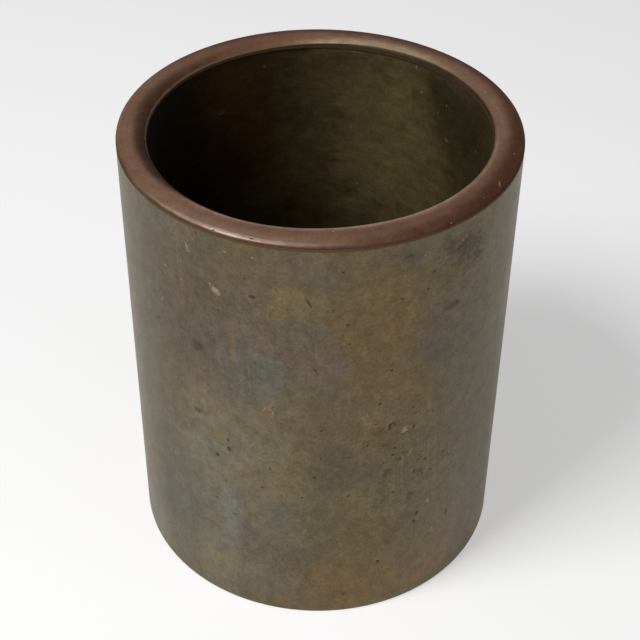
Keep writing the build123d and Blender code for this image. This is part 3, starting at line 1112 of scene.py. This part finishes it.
def press_marks(mesh, marks, kind, name, full=0.03, axis="radius"):
    """Sinks each mark into the face and keeps its share at each point, less if shallower than full."""
    points = corners_of(mesh)
    chart = Chart(points, kind)
    sunk = np.zeros(len(points))
    cover = np.zeros(len(points))
    for degrees, height, half_width, half_height, depth, *lean in marks:
        across, up = chart.offsets(degrees, height, *lean)
        reach = np.hypot(across / half_width, up / half_height)
        share = (1 - smooth_step(MARK_CORE, MARK_END, reach)) * chart.on
        sunk = np.maximum(sunk, share * depth * MM)
        cover = np.maximum(cover, share * min(1.0, depth / full))
    if axis == "radius":
        points[:, :2] *= (1 - sunk / np.maximum(chart.radius, MM))[:, None]
    else:
        points[:, 2] -= sunk
    mesh.vertices.foreach_set("co", points.ravel())
    mesh.update()
    write_cover(mesh, name, cover)


def ragged_push(place):
    """How far, in millimetres, broad and small waves push a patch's edge aside at a place."""
    broad = BROAD_PUSH * noise.noise_vector(place / BROAD_WAVE)
    return broad + SMALL_PUSH * noise.noise_vector(place / SMALL_WAVE)


def paint(mesh, patches, layers, kind, raggedness=1.0):
    """Keeps, for each colour, the share of it at each point, so that neighbouring patches blend."""
    noise.seed_set(RAGGED_SEED)
    points = corners_of(mesh)
    chart = Chart(points, kind)
    push = raggedness * np.array([ragged_push(Vector(point)) for point in points])
    weights = {name: np.zeros(len(points)) for name in layers}
    for name, degrees, height, half_width, half_height, strength in patches:
        across, up = chart.offsets(degrees, height)
        give = min(1.0, min(half_width, half_height) / RAGGED_SIZE)
        reach = np.hypot((across + give * push[:, 0]) / half_width, (up + give * push[:, 1]) / half_height)
        weight = PATCH_GAIN * strength / (PATCH_TOP - strength)
        weights[name] += weight * np.exp(-PATCH_FALL * reach**2) * chart.on
    total = np.ones(len(points))
    for name in layers:
        total += weights[name]
        write_cover(mesh, name, weights[name] / total)


def bevel_lip(mesh, s):
    """Rounds the ring's inner edge over, more on the left and at the back than near the right front."""
    points = corners_of(mesh)
    turn = np.degrees(np.arctan2(points[:, 0], -points[:, 1]))
    away = np.abs((turn - s.lip_sharp_side + 180) % 360 - 180)
    drop = s.inner_slope_drop * (LIP_LEAST + LIP_ADDED * smooth_step(*LIP_TURNS, away))
    start = OUTER_RADIUS - s.rim_width + s.inner_slope_width
    inward = np.clip(start - np.hypot(points[:, 0], points[:, 1]), 0, s.inner_slope_width)

    def fall(depth):
        radius = (s.inner_slope_width**2 + depth**2) / (2 * depth)
        return radius - np.sqrt(np.maximum(radius**2 - inward**2, 0))

    # The slope alone moves, and not the inner face under it
    slope_foot = RIM_TOP - 1.05 * s.inner_slope_drop - 0.1 * MM
    change = fall(drop) - fall(np.full(len(drop), s.inner_slope_drop))
    points[:, 2] -= np.where(points[:, 2] > slope_foot, change, 0)
    mesh.vertices.foreach_set("co", points.ravel())
    mesh.update()


class Shade:
    """A short way to write a material's nodes. Each call adds a node and gives back its output."""

    def __init__(self, name):
        self.material = bpy.data.materials.new(name)
        self.material.use_nodes = True
        self.tree = self.material.node_tree
        self.surface = self.tree.nodes["Principled BSDF"]
        self.place = self.tree.nodes.new("ShaderNodeTexCoord").outputs["Object"]

    def feed(self, socket, value):
        """Links a node's output to a socket, or writes a plain value in it."""
        if isinstance(value, bpy.types.NodeSocket):
            self.tree.links.new(value, socket)
        elif socket.type == "RGBA" and len(value) == 3:
            socket.default_value = (*value, 1.0)
        else:
            socket.default_value = value

    def sum(self, operation, first, second=0.0, clamp=False):
        """One step of arithmetic."""
        node = self.tree.nodes.new("ShaderNodeMath")
        node.operation = operation
        node.use_clamp = clamp
        self.feed(node.inputs[0], first)
        self.feed(node.inputs[1], second)
        return node.outputs[0]

    def stretched(self, scale, place=None):
        """Coordinates times a scale along each axis, so that patterns grow along the smaller ones."""
        node = self.tree.nodes.new("ShaderNodeVectorMath")
        node.operation = "MULTIPLY"
        self.feed(node.inputs[0], place or self.place)
        node.inputs[1].default_value = scale
        return node.outputs[0]

    def noise_node(self, size, detail, roughness, place, seed):
        """A noise, whose blotches are about size across, in metres."""
        node = self.tree.nodes.new("ShaderNodeTexNoise")
        node.noise_dimensions = "4D"
        self.feed(node.inputs["Vector"], place or self.place)
        node.inputs["W"].default_value = seed
        node.inputs["Scale"].default_value = 1 / size
        node.inputs["Detail"].default_value = detail
        node.inputs["Roughness"].default_value = roughness
        return node

    def noise(self, size, detail=3.0, roughness=0.55, place=None, seed=0.0):
        """Cloudy noise as a number."""
        return self.noise_node(size, detail, roughness, place, seed).outputs[0]

    def frays(self, size, detail, roughness, first_seed, place=None):
        """Gives each layer of colour a noise of its own by its number."""
        return lambda i: self.noise(size, detail, roughness, place, first_seed + i)

    def cells(self, size, place):
        """Distance to the nearest of many scattered points, and that point's colour."""
        node = self.tree.nodes.new("ShaderNodeTexVoronoi")
        self.feed(node.inputs["Vector"], place)
        node.inputs["Scale"].default_value = 1 / size
        return node.outputs["Distance"], node.outputs["Color"]

    def ramp(self, value, low, high, out_low=0.0, out_high=1.0):
        """Goes smoothly from out_low to out_high while the value goes from low to high."""
        node = self.tree.nodes.new("ShaderNodeMapRange")
        node.interpolation_type = "SMOOTHSTEP"
        self.feed(node.inputs["Value"], value)
        ends = {"From Min": low, "From Max": high, "To Min": out_low, "To Max": out_high}
        for key, number in ends.items():
            self.feed(node.inputs[key], number)
        return node.outputs["Result"]

    def swing(self, value, out_low=0.0, out_high=1.0):
        """Goes smoothly from out_low to out_high over a noise's usual range."""
        return self.ramp(value, NOISE_LOW, NOISE_HIGH, out_low, out_high)

    def mix(self, share, first, second, blend="MIX"):
        """The first colour, with the second laid over it by a share."""
        node = self.tree.nodes.new("ShaderNodeMix")
        node.data_type = "RGBA"
        node.blend_type = blend
        self.feed(node.inputs["Factor"], share)
        self.feed(node.inputs[6], first)
        self.feed(node.inputs[7], second)
        return node.outputs[2]

    def scaled(self, colour, value, spread):
        """The colour made darker and lighter by a noise, by a share of itself."""
        return self.mix(1.0, colour, self.swing(value, 1 - spread, 1 + spread), "MULTIPLY")

    def cover(self, name):
        """The number that the mesh keeps for each point under this name."""
        node = self.tree.nodes.new("ShaderNodeAttribute")
        node.attribute_name = name
        return node.outputs["Fac"]

    def layered(self, colour, names, cloud, gain):
        """Lays each named colour on by its share, which the noise for its number frays at the edges."""
        c = bpy.context.scene.vessel_colours
        for i, name in enumerate(names):
            share = self.cover(name)
            edge = self.sum("MULTIPLY", share, self.sum("SUBTRACT", 1.0, share))
            frayed = self.sum("MULTIPLY", self.sum("SUBTRACT", cloud(i), 0.5), 4 * gain)
            edge = self.sum("MULTIPLY", edge, frayed)
            colour = self.mix(self.sum("ADD", share, edge, clamp=True), colour, seen(getattr(c, name)))
        return colour

    def tinted(self, colour, value, spread):
        """The colour made warmer and cooler by a noise, by a share of itself."""
        warm, cool = (1 + 0.6 * spread, 1.0, 1 - spread), (1 - 0.6 * spread, 1.0, 1 + spread)
        return self.mix(1.0, colour, self.mix(self.swing(value), warm, cool), "MULTIPLY")

    def parts(self, place=None):
        """The x, y and z of a place, or the three parts of a colour."""
        node = self.tree.nodes.new("ShaderNodeSeparateXYZ")
        self.feed(node.inputs[0], place or self.place)
        return node.outputs

    def away_from_axis(self):
        """How far a point lies from the vessel's axis."""
        x, y, _ = self.parts()
        return self.sum("SQRT", self.sum("ADD", self.sum("MULTIPLY", x, x), self.sum("MULTIPLY", y, y)))

    def joined(self, x, y, z):
        """A place from its x, y and z."""
        node = self.tree.nodes.new("ShaderNodeCombineXYZ")
        for socket, value in zip(node.inputs, (x, y, z)):
            self.feed(socket, value)
        return node.outputs[0]

    def warped(self, size, reach, seed):
        """Object coordinates pushed about by noise, so that patterns have ragged edges."""
        node = self.noise_node(size, 2.0, 0.5, self.place, seed)
        centred = self.tree.nodes.new("ShaderNodeVectorMath")
        centred.operation = "MULTIPLY_ADD"
        self.feed(centred.inputs[0], node.outputs["Color"])
        centred.inputs[1].default_value = (reach,) * 3
        self.feed(centred.inputs[2], self.place)
        return centred.outputs[0]

    def bump(self, height, distance, strength, under=None):
        """A surface direction that rises and falls with a number, on top of another one if given."""
        node = self.tree.nodes.new("ShaderNodeBump")
        node.inputs["Distance"].default_value = distance
        node.inputs["Strength"].default_value = strength
        self.feed(node.inputs["Height"], height)
        if under is not None:
            self.feed(node.inputs["Normal"], under)
        return node.outputs[0]

    def finish(self, colour, roughness, normal, metallic, specular=0.3, edge=1.0):
        """Feeds the surface, and gives the finished material."""
        self.feed(self.surface.inputs["Base Color"], colour)
        self.feed(self.surface.inputs["Roughness"], roughness)
        self.feed(self.surface.inputs["Normal"], normal)
        self.surface.inputs["Metallic"].default_value = metallic
        self.surface.inputs["Specular IOR Level"].default_value = specular
        self.surface.inputs["Specular Tint"].default_value = (edge, edge, edge, 1.0)
        return self.material


def seen(colour):
    """A colour as the eye sees it, turned into the light that Blender works in."""
    return tuple(Color(colour).from_srgb_to_scene_linear())


def outside_patina():
    """Waxed patina of the outside: soft clouds of colour on olive metal, with painted shade down its far
    sides, dabs, specks, pits and chips.
    """
    c = bpy.context.scene.vessel_colours
    m = Shade("waxed_patina")
    ragged = m.warped(3 * MM, 1.5 * MM, seed=1.0)
    upright = m.stretched((1.0, 1.0, 0.7), ragged)
    slanted = m.stretched((1.15, 1.15, 0.95), m.warped(9 * MM, 1.5 * MM, seed=6.0))
    cloud = m.noise(6 * MM, detail=5.0, roughness=0.7, place=upright, seed=2.0)
    grain = m.noise(1.1 * MM, detail=4.0, roughness=0.7, place=slanted, seed=3.0)
    drawn_out = m.stretched((1.0, 1.0, 0.08), ragged)
    fibres = m.noise(1.4 * MM, detail=4.0, roughness=0.65, place=drawn_out, seed=4.0)
    grit = m.noise(3.5 * MM, detail=5.0, roughness=0.92, place=m.stretched((1.0, 1.0, 0.85)), seed=8.0)
    flattened = m.stretched((0.7, 0.7, 1.5), ragged)
    mottle = m.noise(2.2 * MM, detail=5.0, roughness=0.75, place=flattened, seed=20.0)
    frays = m.frays(5 * MM, detail=4.0, roughness=0.55, first_seed=10.0, place=upright)
    # The outside's patches include painted shade down its far sides
    colour = m.layered(seen(c.olive), OUTSIDE_LAYERS[:-1], frays, gain=0.7)
    colour = m.layered(colour, OUTSIDE_LAYERS[-1:], lambda i: mottle, gain=3.0)
    crowded = m.cover("speckle")
    dabs = m.sum("ADD", m.sum("MULTIPLY", crowded, 0.6), 0.14)
    dabs = m.sum("MULTIPLY", dabs, m.ramp(mottle, 0.5, 0.64))
    colour = m.mix(dabs, colour, seen(c.umber))
    smear = m.sum("ADD", m.cover("smear"), m.sum("MULTIPLY", m.sum("SUBTRACT", mottle, 0.5), 2.6))
    smear = m.sum("MULTIPLY", m.ramp(smear, 0.35, 0.9, 0.0, 0.8), m.ramp(m.cover("smear"), 0.05, 0.3))
    colour = m.mix(smear, colour, seen(c.pit))
    pale = m.sum("MULTIPLY", m.ramp(fibres, 0.5, 0.62), m.cover("fibrous"))
    colour = m.mix(m.sum("MULTIPLY", pale, 0.6), colour, seen(c.amber))
    colour = m.tinted(colour, m.noise(16 * MM, detail=4.0, roughness=0.6, place=upright, seed=5.0), 0.1)
    colour = m.scaled(colour, cloud, 0.05)
    colour = m.scaled(colour, grit, 0.27)
    colour = m.scaled(colour, grain, 0.1)
    colour = m.scaled(colour, fibres, 0.03)
    spots, which = m.cells(1.6 * MM, m.warped(1.0 * MM, 0.9 * MM, seed=7.0))
    chosen = m.sum("LESS_THAN", m.parts(which)[0], m.sum("ADD", m.sum("MULTIPLY", crowded, 0.3), 0.02))
    speck = m.sum("MULTIPLY", m.ramp(spots, 0.36, 0.05), chosen)
    colour = m.mix(m.sum("MULTIPLY", speck, 0.4), colour, seen(c.umber))
    fray = m.sum("SUBTRACT", m.noise(0.55 * MM, detail=3.0, roughness=0.7, seed=9.0), 0.5)
    pit = m.sum("ADD", m.cover("pit"), m.sum("MULTIPLY", fray, 1.0))
    colour = m.mix(m.ramp(pit, 0.2, 0.75, 0.0, 0.85), colour, seen(c.pit))
    chip = m.sum("ADD", m.cover("chip"), m.sum("MULTIPLY", fray, 3.0))
    chip = m.sum("MULTIPLY", m.ramp(chip, 0.2, 1.2, 0.0, 0.7), m.ramp(m.cover("chip"), 0.0, 0.25))
    colour = m.mix(chip, colour, seen(c.chip))
    rough = m.swing(cloud, 0.41, 0.49)
    rough = m.sum("ADD", rough, m.sum("MULTIPLY", m.sum("MAXIMUM", m.cover("pit"), speck), 0.15))
    normal = m.bump(cloud, 0.2 * MM, 0.25)
    normal = m.bump(grain, 0.05 * MM, 0.4, normal)
    normal = m.bump(fibres, 0.02 * MM, 0.3, normal)
    normal = m.bump(m.sum("MULTIPLY", speck, -1.0), 0.06 * MM, 0.6, normal)
    return m.finish(colour, rough, normal, metallic=0.55)


def inside_bronze():
    """Duller patina of the inside: stains, painted shade on its left side, a painted glint, and the level
    lines that turning left.
    """
    c = bpy.context.scene.vessel_colours
    m = Shade("turned_inside")
    ragged = m.warped(4 * MM, 2.5 * MM, seed=21.0)
    flat = m.stretched((0.5, 0.5, 1.2), ragged)
    middling = m.noise(4 * MM, detail=4.0, roughness=0.6, place=flat, seed=23.0)
    fine = m.noise(0.9 * MM, detail=3.0, roughness=0.6, seed=24.0)
    lines = m.noise(0.9 * MM, detail=3.0, roughness=0.6, place=m.stretched((0.05, 0.05, 1.5)), seed=25.0)
    frays = m.frays(6 * MM, detail=5.0, roughness=0.7, first_seed=30.0, place=flat)
    # The inside's patches include painted shade on its left and a painted glint
    colour = m.layered(seen(c.inside), INSIDE_LAYERS, frays, gain=1.5)
    colour = m.scaled(colour, middling, 0.1)
    nearly_even = m.stretched((0.9, 0.9, 1.1), ragged)
    blotches = m.noise(8 * MM, detail=6.0, roughness=0.95, place=nearly_even, seed=26.0)
    colour = m.scaled(colour, blotches, 0.35)
    colour = m.scaled(colour, lines, 0.04)
    colour = m.scaled(colour, fine, 0.06)
    colour = m.mix(m.sum("MULTIPLY", m.cover("inner_fleck"), 0.4), colour, seen(c.chip))
    rough = m.swing(middling, 0.5, 0.62)
    normal = m.bump(lines, 0.1 * MM, 0.35)
    normal = m.bump(middling, 0.2 * MM, 0.3, normal)
    return m.finish(colour, rough, normal, metallic=0.15, specular=0.12, edge=0.5)


def plate_bronze():
    """Patina of the base plate, with the rings that its turning left."""
    c = bpy.context.scene.vessel_colours
    m = Shade("turned_plate")
    reach = m.away_from_axis()
    rings = m.noise(1.3 * MM, detail=3.0, roughness=0.6, place=m.joined(reach, 0.0, 0.0), seed=51.0)
    ragged = m.warped(5 * MM, 3 * MM, seed=52.0)
    cloud = m.noise(14 * MM, detail=6.0, roughness=0.7, place=ragged, seed=53.0)
    fine = m.noise(0.8 * MM, detail=3.0, roughness=0.6, seed=54.0)
    colour = m.mix(m.ramp(cloud, 0.35, 0.65, 0.0, 0.7), seen(c.inside), seen(c.inside_dark))
    colour = m.mix(m.ramp(cloud, 0.45, 0.3, 0.0, 0.5), colour, seen(c.inside_pale))
    margin = m.ramp(reach, PLATE_RADIUS - 9 * MM, PLATE_RADIUS, 0.0, 0.6)
    colour = m.mix(margin, colour, seen(c.inside_red))
    colour = m.scaled(m.scaled(colour, rings, 0.18), fine, 0.07)
    normal = m.bump(rings, 0.15 * MM, 0.7)
    normal = m.bump(fine, 0.04 * MM, 0.4, normal)
    rough = m.swing(cloud, 0.5, 0.62)
    return m.finish(colour, rough, normal, metallic=0.15, specular=0.12, edge=0.5)


def rim_copper():
    """Handled copper: fine turning lines, clouds, painted shade, sheen and highlights, a burnished edge,
    tarnish, a painted dark reflection under the outer edge, and patina under it.
    """
    c = bpy.context.scene.vessel_colours
    m = Shade("aged_copper")
    reach = m.away_from_axis()
    height = m.parts()[2]
    middling = m.noise(2.5 * MM, detail=4.0, roughness=0.6, seed=32.0)
    broad = m.noise(11 * MM, detail=3.0, seed=31.0)
    fine = m.noise(0.6 * MM, detail=3.0, roughness=0.6, seed=33.0)
    lines = m.noise(0.35 * MM, detail=2.0, roughness=0.5, place=m.joined(reach, 0.0, 0.0), seed=34.0)
    colour = m.mix(m.ramp(broad, 0.4, 0.6, 0.0, 0.25), seen(c.copper), seen(c.rim_red))
    frays = m.frays(2.5 * MM, detail=4.0, roughness=0.6, first_seed=35.0)
    # The rim's patches lay painted shade, sheen and highlights as well as the copper's own tones
    colour = m.layered(colour, RIM_LAYERS, frays, gain=0.7)
    # The inner face's patches include painted shade on its left
    colour = m.layered(colour, LIP_LAYERS, lambda i: middling, gain=0.6)
    colour = m.tinted(colour, m.noise(1.8 * MM, detail=5.0, roughness=0.7, seed=48.0), 0.09)
    colour = m.scaled(colour, middling, 0.11)
    colour = m.scaled(colour, fine, 0.09)
    colour = m.scaled(colour, lines, 0.03)
    # Painted dark reflection: half tarnish on the lowest band of the outer edge, which would otherwise
    # mirror the pale floor
    low = m.ramp(height, RIM_TOP - 1.05 * MM, RIM_TOP - 0.65 * MM, 1.0, 0.0)
    low = m.sum("MULTIPLY", low, m.ramp(reach, OUTER_RADIUS - 1.0 * MM, OUTER_RADIUS - 0.3 * MM))
    colour = m.mix(m.sum("MULTIPLY", low, 0.5), colour, seen(c.tarnish_and_dark_reflection))
    creep = m.sum("ADD", height, m.sum("MULTIPLY", m.sum("SUBTRACT", middling, 0.5), 0.6 * MM))
    skirt = m.ramp(creep, RIM_TOP - 1.15 * MM, RIM_TOP - 0.85 * MM, 0.95, 0.0)
    # Less skirt under the painted shade of the outer half, so that the skirt is darker there too
    skirt = m.sum("MULTIPLY", skirt, m.ramp(m.cover("rim_shadow"), 0.1, 0.6, 1.0, 0.6))
    colour = m.mix(skirt, colour, seen(c.rim_skirt))
    colour = m.mix(m.ramp(m.cover("nick"), 0.1, 0.7, 0.0, 0.8), colour, seen(c.tarnish_and_dark_reflection))
    colour = m.mix(m.sum("MULTIPLY", m.cover("fleck"), 0.5), colour, seen(c.fleck))
    rough = m.swing(middling, 0.45, 0.53)
    worn = m.ramp(reach, OUTER_RADIUS - 1.4 * MM, OUTER_RADIUS - 0.8 * MM, 0.0, 0.09)
    worn = m.sum("MULTIPLY", worn, m.ramp(m.cover("rim_shadow"), 0.1, 0.5, 1.0, 0.0))
    rough = m.sum("SUBTRACT", rough, worn)
    dulled = m.ramp(reach, OUTER_RADIUS - 0.5 * MM, OUTER_RADIUS - 0.25 * MM, 0.0, 0.18)
    rough = m.sum("ADD", rough, dulled)
    normal = m.bump(middling, 0.06 * MM, 0.35)
    normal = m.bump(fine, 0.02 * MM, 0.4, normal)
    return m.finish(colour, rough, normal, metallic=0.6, specular=0.15, edge=0.45)


def joint_solder():
    """Tarnished solder, brown where it faces out, and olive where it faces the inside, which also lifts
    the shade under the ring's overhang as painted light.
    """
    c = bpy.context.scene.vessel_colours
    m = Shade("dull_solder")
    cloud = m.noise(2 * MM, detail=4.0, roughness=0.6, seed=41.0)
    outer = m.ramp(m.away_from_axis(), 48 * MM, 51 * MM)
    # The paler olive on the inner side is painted light over the shade under the ring's overhang
    colour = m.mix(outer, seen(c.lip_olive), seen(c.solder))
    clouds = m.sum("MULTIPLY", m.swing(cloud), m.ramp(outer, 0.0, 1.0, 0.3, 0.2))
    colour = m.mix(clouds, colour, seen(c.tarnish_and_dark_reflection))
    normal = m.bump(cloud, 0.2 * MM, 0.4)
    return m.finish(colour, m.swing(cloud, 0.5, 0.65), normal, metallic=0.3, edge=0.5)


def made(name, builder):
    """A material by name, built the first time that it is asked for."""
    return bpy.data.materials.get(name) or builder()


class VesselOperator(bpy.types.Operator):
    """Base of the operators here."""

    bl_options = {"REGISTER", "UNDO"}


class VESSEL_OT_wall(VesselOperator):
    """Turns the cast wall, presses its pits and chips, and lays its patina"""

    bl_idname = "vessel.wall"
    bl_label = "Wall"

    def execute(self, context):
        s = context.scene.vessel_sizes
        bore = OUTER_RADIUS - s.rim_width + s.rim_overhang
        wall = turn(
            "wall",
            wall_profile(s),
            made("waxed_patina", outside_patina),
            made("turned_inside", inside_bronze),
            inside_radius=bore + BORE_MARGIN,
        )
        draw = random.Random(REAR_SEED)
        patches = list(OUTSIDE_PATCHES) + rear_patches(draw)
        pits = list(PITS) + rear_pits(draw)
        mesh = wall.data
        refine_marks(mesh, pits + list(CHIPS), "outside")
        refine_marks(mesh, INSIDE_FLECKS, "inside", cuts=5)
        press_marks(mesh, pits, "outside", "pit", full=0.15)
        press_marks(mesh, CHIPS, "outside", "chip", full=0.05)
        press_marks(mesh, INSIDE_FLECKS, "inside", "inner_fleck")
        paint(mesh, patches, OUTSIDE_LAYERS, "outside")
        marked = {"speckle": SPECK_ZONES, "fibrous": FIBRE_ZONES, "smear": OUTSIDE_SMEARS}
        for name, zones in marked.items():
            paint(mesh, [(name, *zone) for zone in zones], (name,), "outside")
        paint(mesh, INSIDE_PATCHES, INSIDE_LAYERS, "inside")
        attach(wall, "root")
        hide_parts("body_wall")
        return {"FINISHED"}


class VESSEL_OT_rim(VesselOperator):
    """Turns the copper ring of the rim"""

    bl_idname = "vessel.rim"
    bl_label = "Rim ring"

    def execute(self, context):
        s = context.scene.vessel_sizes
        ring = turn("rim", ring_profile(s), made("aged_copper", rim_copper), segments=2 * s.segments)
        mesh = ring.data
        bevel_lip(mesh, s)
        refine_marks(mesh, RIM_NICKS + RIM_FLECKS, "rim", cuts=2)
        press_marks(mesh, RIM_NICKS, "rim", "nick", axis="height")
        press_marks(mesh, RIM_FLECKS, "rim", "fleck", axis="height")
        paint(mesh, RIM_PATCHES, RIM_LAYERS, "rim", raggedness=0.3)
        paint(mesh, LIP_PATCHES, LIP_LAYERS, "lip", raggedness=0.3)
        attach(ring, "root")
        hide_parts("rim_ring")
        return {"FINISHED"}


class VESSEL_OT_base(VesselOperator):
    """Turns the base plate that is let in from below"""

    bl_idname = "vessel.base"
    bl_label = "Base plate"

    def execute(self, context):
        s = context.scene.vessel_sizes
        bronze = made("turned_plate", plate_bronze)
        plate = turn("base", plate_profile(s), bronze, closed=False, waviness=0.0)
        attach(plate, "root")
        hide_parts("base_plate")
        return {"FINISHED"}


class VESSEL_OT_solder(VesselOperator):
    """Turns the solder of the rim joint and of the base joint"""

    bl_idname = "vessel.solder"
    bl_label = "Solder"

    def execute(self, context):
        s = context.scene.vessel_sizes
        for name, section, node in (
            ("rim_joint", rim_solder_profile(s), "rim_solder"),
            ("base_joint", bead_profile(s), "base_solder"),
        ):
            joint = turn(name, section, made("dull_solder", joint_solder))
            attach(joint, "root")
            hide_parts(node)
        return {"FINISHED"}


def lamp(name, power, size, place, aim):
    """A square soft lamp that looks from place at aim."""
    data = bpy.data.lights.new(name, "AREA")
    data.energy = power
    data.size = size
    lit = bpy.data.objects.new(name, data)
    lit.location = place
    lit.rotation_euler = (Vector(aim) - Vector(place)).to_track_quat("-Z", "Y").to_euler()
    bpy.context.scene.collection.objects.link(lit)


def add_camera(studio):
    """The camera at the photograph's place and angle."""
    data = bpy.data.cameras.new("camera")
    data.sensor_width = SENSOR_WIDTH
    data.lens = studio.lens
    camera = bpy.data.objects.new("camera", data)
    forward = Vector(
        (
            math.sin(studio.yaw) * math.cos(studio.pitch),
            math.cos(studio.yaw) * math.cos(studio.pitch),
            -math.sin(studio.pitch),
        )
    )
    right = forward.cross(Vector((0, 0, 1))).normalized()
    up = right.cross(forward)
    lean_right = math.cos(studio.roll) * right + math.sin(studio.roll) * up
    lean_up = math.cos(studio.roll) * up - math.sin(studio.roll) * right
    turned = Matrix((lean_right, lean_up, -forward)).transposed().to_4x4()
    camera.matrix_world = Matrix.Translation((0, -studio.camera_reach, studio.camera_height)) @ turned
    bpy.context.scene.collection.objects.link(camera)
    bpy.context.scene.camera = camera


def pale_rays(tree):
    """1 for rays that come straight from the camera, or by way of a gloss or a glass."""
    rays = tree.nodes.new("ShaderNodeLightPath").outputs
    total = rays["Is Camera Ray"]
    for name in ("Is Glossy Ray", "Is Transmission Ray"):
        node = tree.nodes.new("ShaderNodeMath")
        node.operation = "MAXIMUM"
        tree.links.new(total, node.inputs[0])
        tree.links.new(rays[name], node.inputs[1])
        total = node.outputs[0]
    return total


def add_world(studio):
    """Even light all round, seen as white by the camera and in reflections."""
    world = bpy.data.worlds.new("studio")
    bpy.context.scene.world = world
    world.use_nodes = True
    tree = world.node_tree
    background = tree.nodes["Background"]
    background.inputs["Color"].default_value = (1, 1, 1, 1)
    strength = tree.nodes.new("ShaderNodeMix")
    tree.links.new(pale_rays(tree), strength.inputs["Factor"])
    strength.inputs["A"].default_value = studio.sky
    strength.inputs["B"].default_value = 1.0
    tree.links.new(strength.outputs["Result"], background.inputs["Strength"])


def add_floor(studio):
    """A wide pale floor that keeps the shadow of the vessel."""
    half = FLOOR_HALF
    corners = [(-half, -half, 0), (half, -half, 0), (half, half, 0), (-half, half, 0)]
    mesh = bpy.data.meshes.new("floor")
    mesh.from_pydata(corners, [], [(0, 1, 2, 3)])
    floor = bpy.data.objects.new("floor", mesh)
    bpy.context.scene.collection.objects.link(floor)
    material = bpy.data.materials.new("pale_floor")
    material.use_nodes = True
    tree = material.node_tree
    surface = tree.nodes["Principled BSDF"]
    surface.inputs["Base Color"].default_value = (studio.floor_shade,) * 3 + (1,)
    surface.inputs["Roughness"].default_value = 1.0
    surface.inputs["Specular IOR Level"].default_value = 0.0
    surface.inputs["Emission Color"].default_value = (1, 1, 1, 1)
    lift = tree.nodes.new("ShaderNodeMath")
    lift.operation = "MULTIPLY"
    tree.links.new(pale_rays(tree), lift.inputs[0])
    lift.inputs[1].default_value = studio.floor_lift
    tree.links.new(lift.outputs[0], surface.inputs["Emission Strength"])
    mesh.materials.append(material)


class VESSEL_OT_stage(VesselOperator):
    """Sets the camera, the lamps, the even light and the pale floor"""

    bl_idname = "vessel.stage"
    bl_label = "Stage"

    def execute(self, context):
        studio = context.scene.vessel_studio
        context.scene.view_settings.view_transform = "Standard"
        add_camera(studio)
        add_world(studio)
        add_floor(studio)
        mouth = Vector((0, 0, RIM_TOP))
        key_place = mouth + KEY_REACH * KEY_WAY.normalized()
        lamp("key", studio.key_power, KEY_SIZE, key_place, mouth)
        lamp("fill", studio.fill_power, FILL_SIZE, FILL_PLACE, mouth / 2)
        return {"FINISHED"}


class VESSEL_PT_panel(bpy.types.Panel):
    """Lists the pieces and their values"""

    bl_label = "Vessel"
    bl_space_type = "VIEW_3D"
    bl_region_type = "UI"
    bl_category = "Vessel"

    def draw(self, context):
        layout, scene = self.layout, context.scene
        for operator in OPERATORS:
            layout.operator(operator.bl_idname)
        for group in (scene.vessel_sizes, scene.vessel_colours, scene.vessel_studio):
            column = layout.column(align=True)
            for name in group.__annotations__:
                column.prop(group, name)


GROUPS = (VesselSizes, VesselColours, StudioSettings)
OPERATORS = (VESSEL_OT_wall, VESSEL_OT_rim, VESSEL_OT_base, VESSEL_OT_solder, VESSEL_OT_stage)


def register():
    for item in (*GROUPS, *OPERATORS, VESSEL_PT_panel):
        bpy.utils.register_class(item)
    bpy.types.Scene.vessel_sizes = bpy.props.PointerProperty(type=VesselSizes)
    bpy.types.Scene.vessel_colours = bpy.props.PointerProperty(type=VesselColours)
    bpy.types.Scene.vessel_studio = bpy.props.PointerProperty(type=StudioSettings)


def unregister():
    del bpy.types.Scene.vessel_studio
    del bpy.types.Scene.vessel_colours
    del bpy.types.Scene.vessel_sizes
    for item in reversed((*GROUPS, *OPERATORS, VESSEL_PT_panel)):
        bpy.utils.unregister_class(item)


def main():
    register()
    bpy.ops.vessel.wall()
    bpy.ops.vessel.rim()
    bpy.ops.vessel.base()
    bpy.ops.vessel.solder()
    bpy.ops.vessel.stage()


if __name__ == "__main__":
    main()
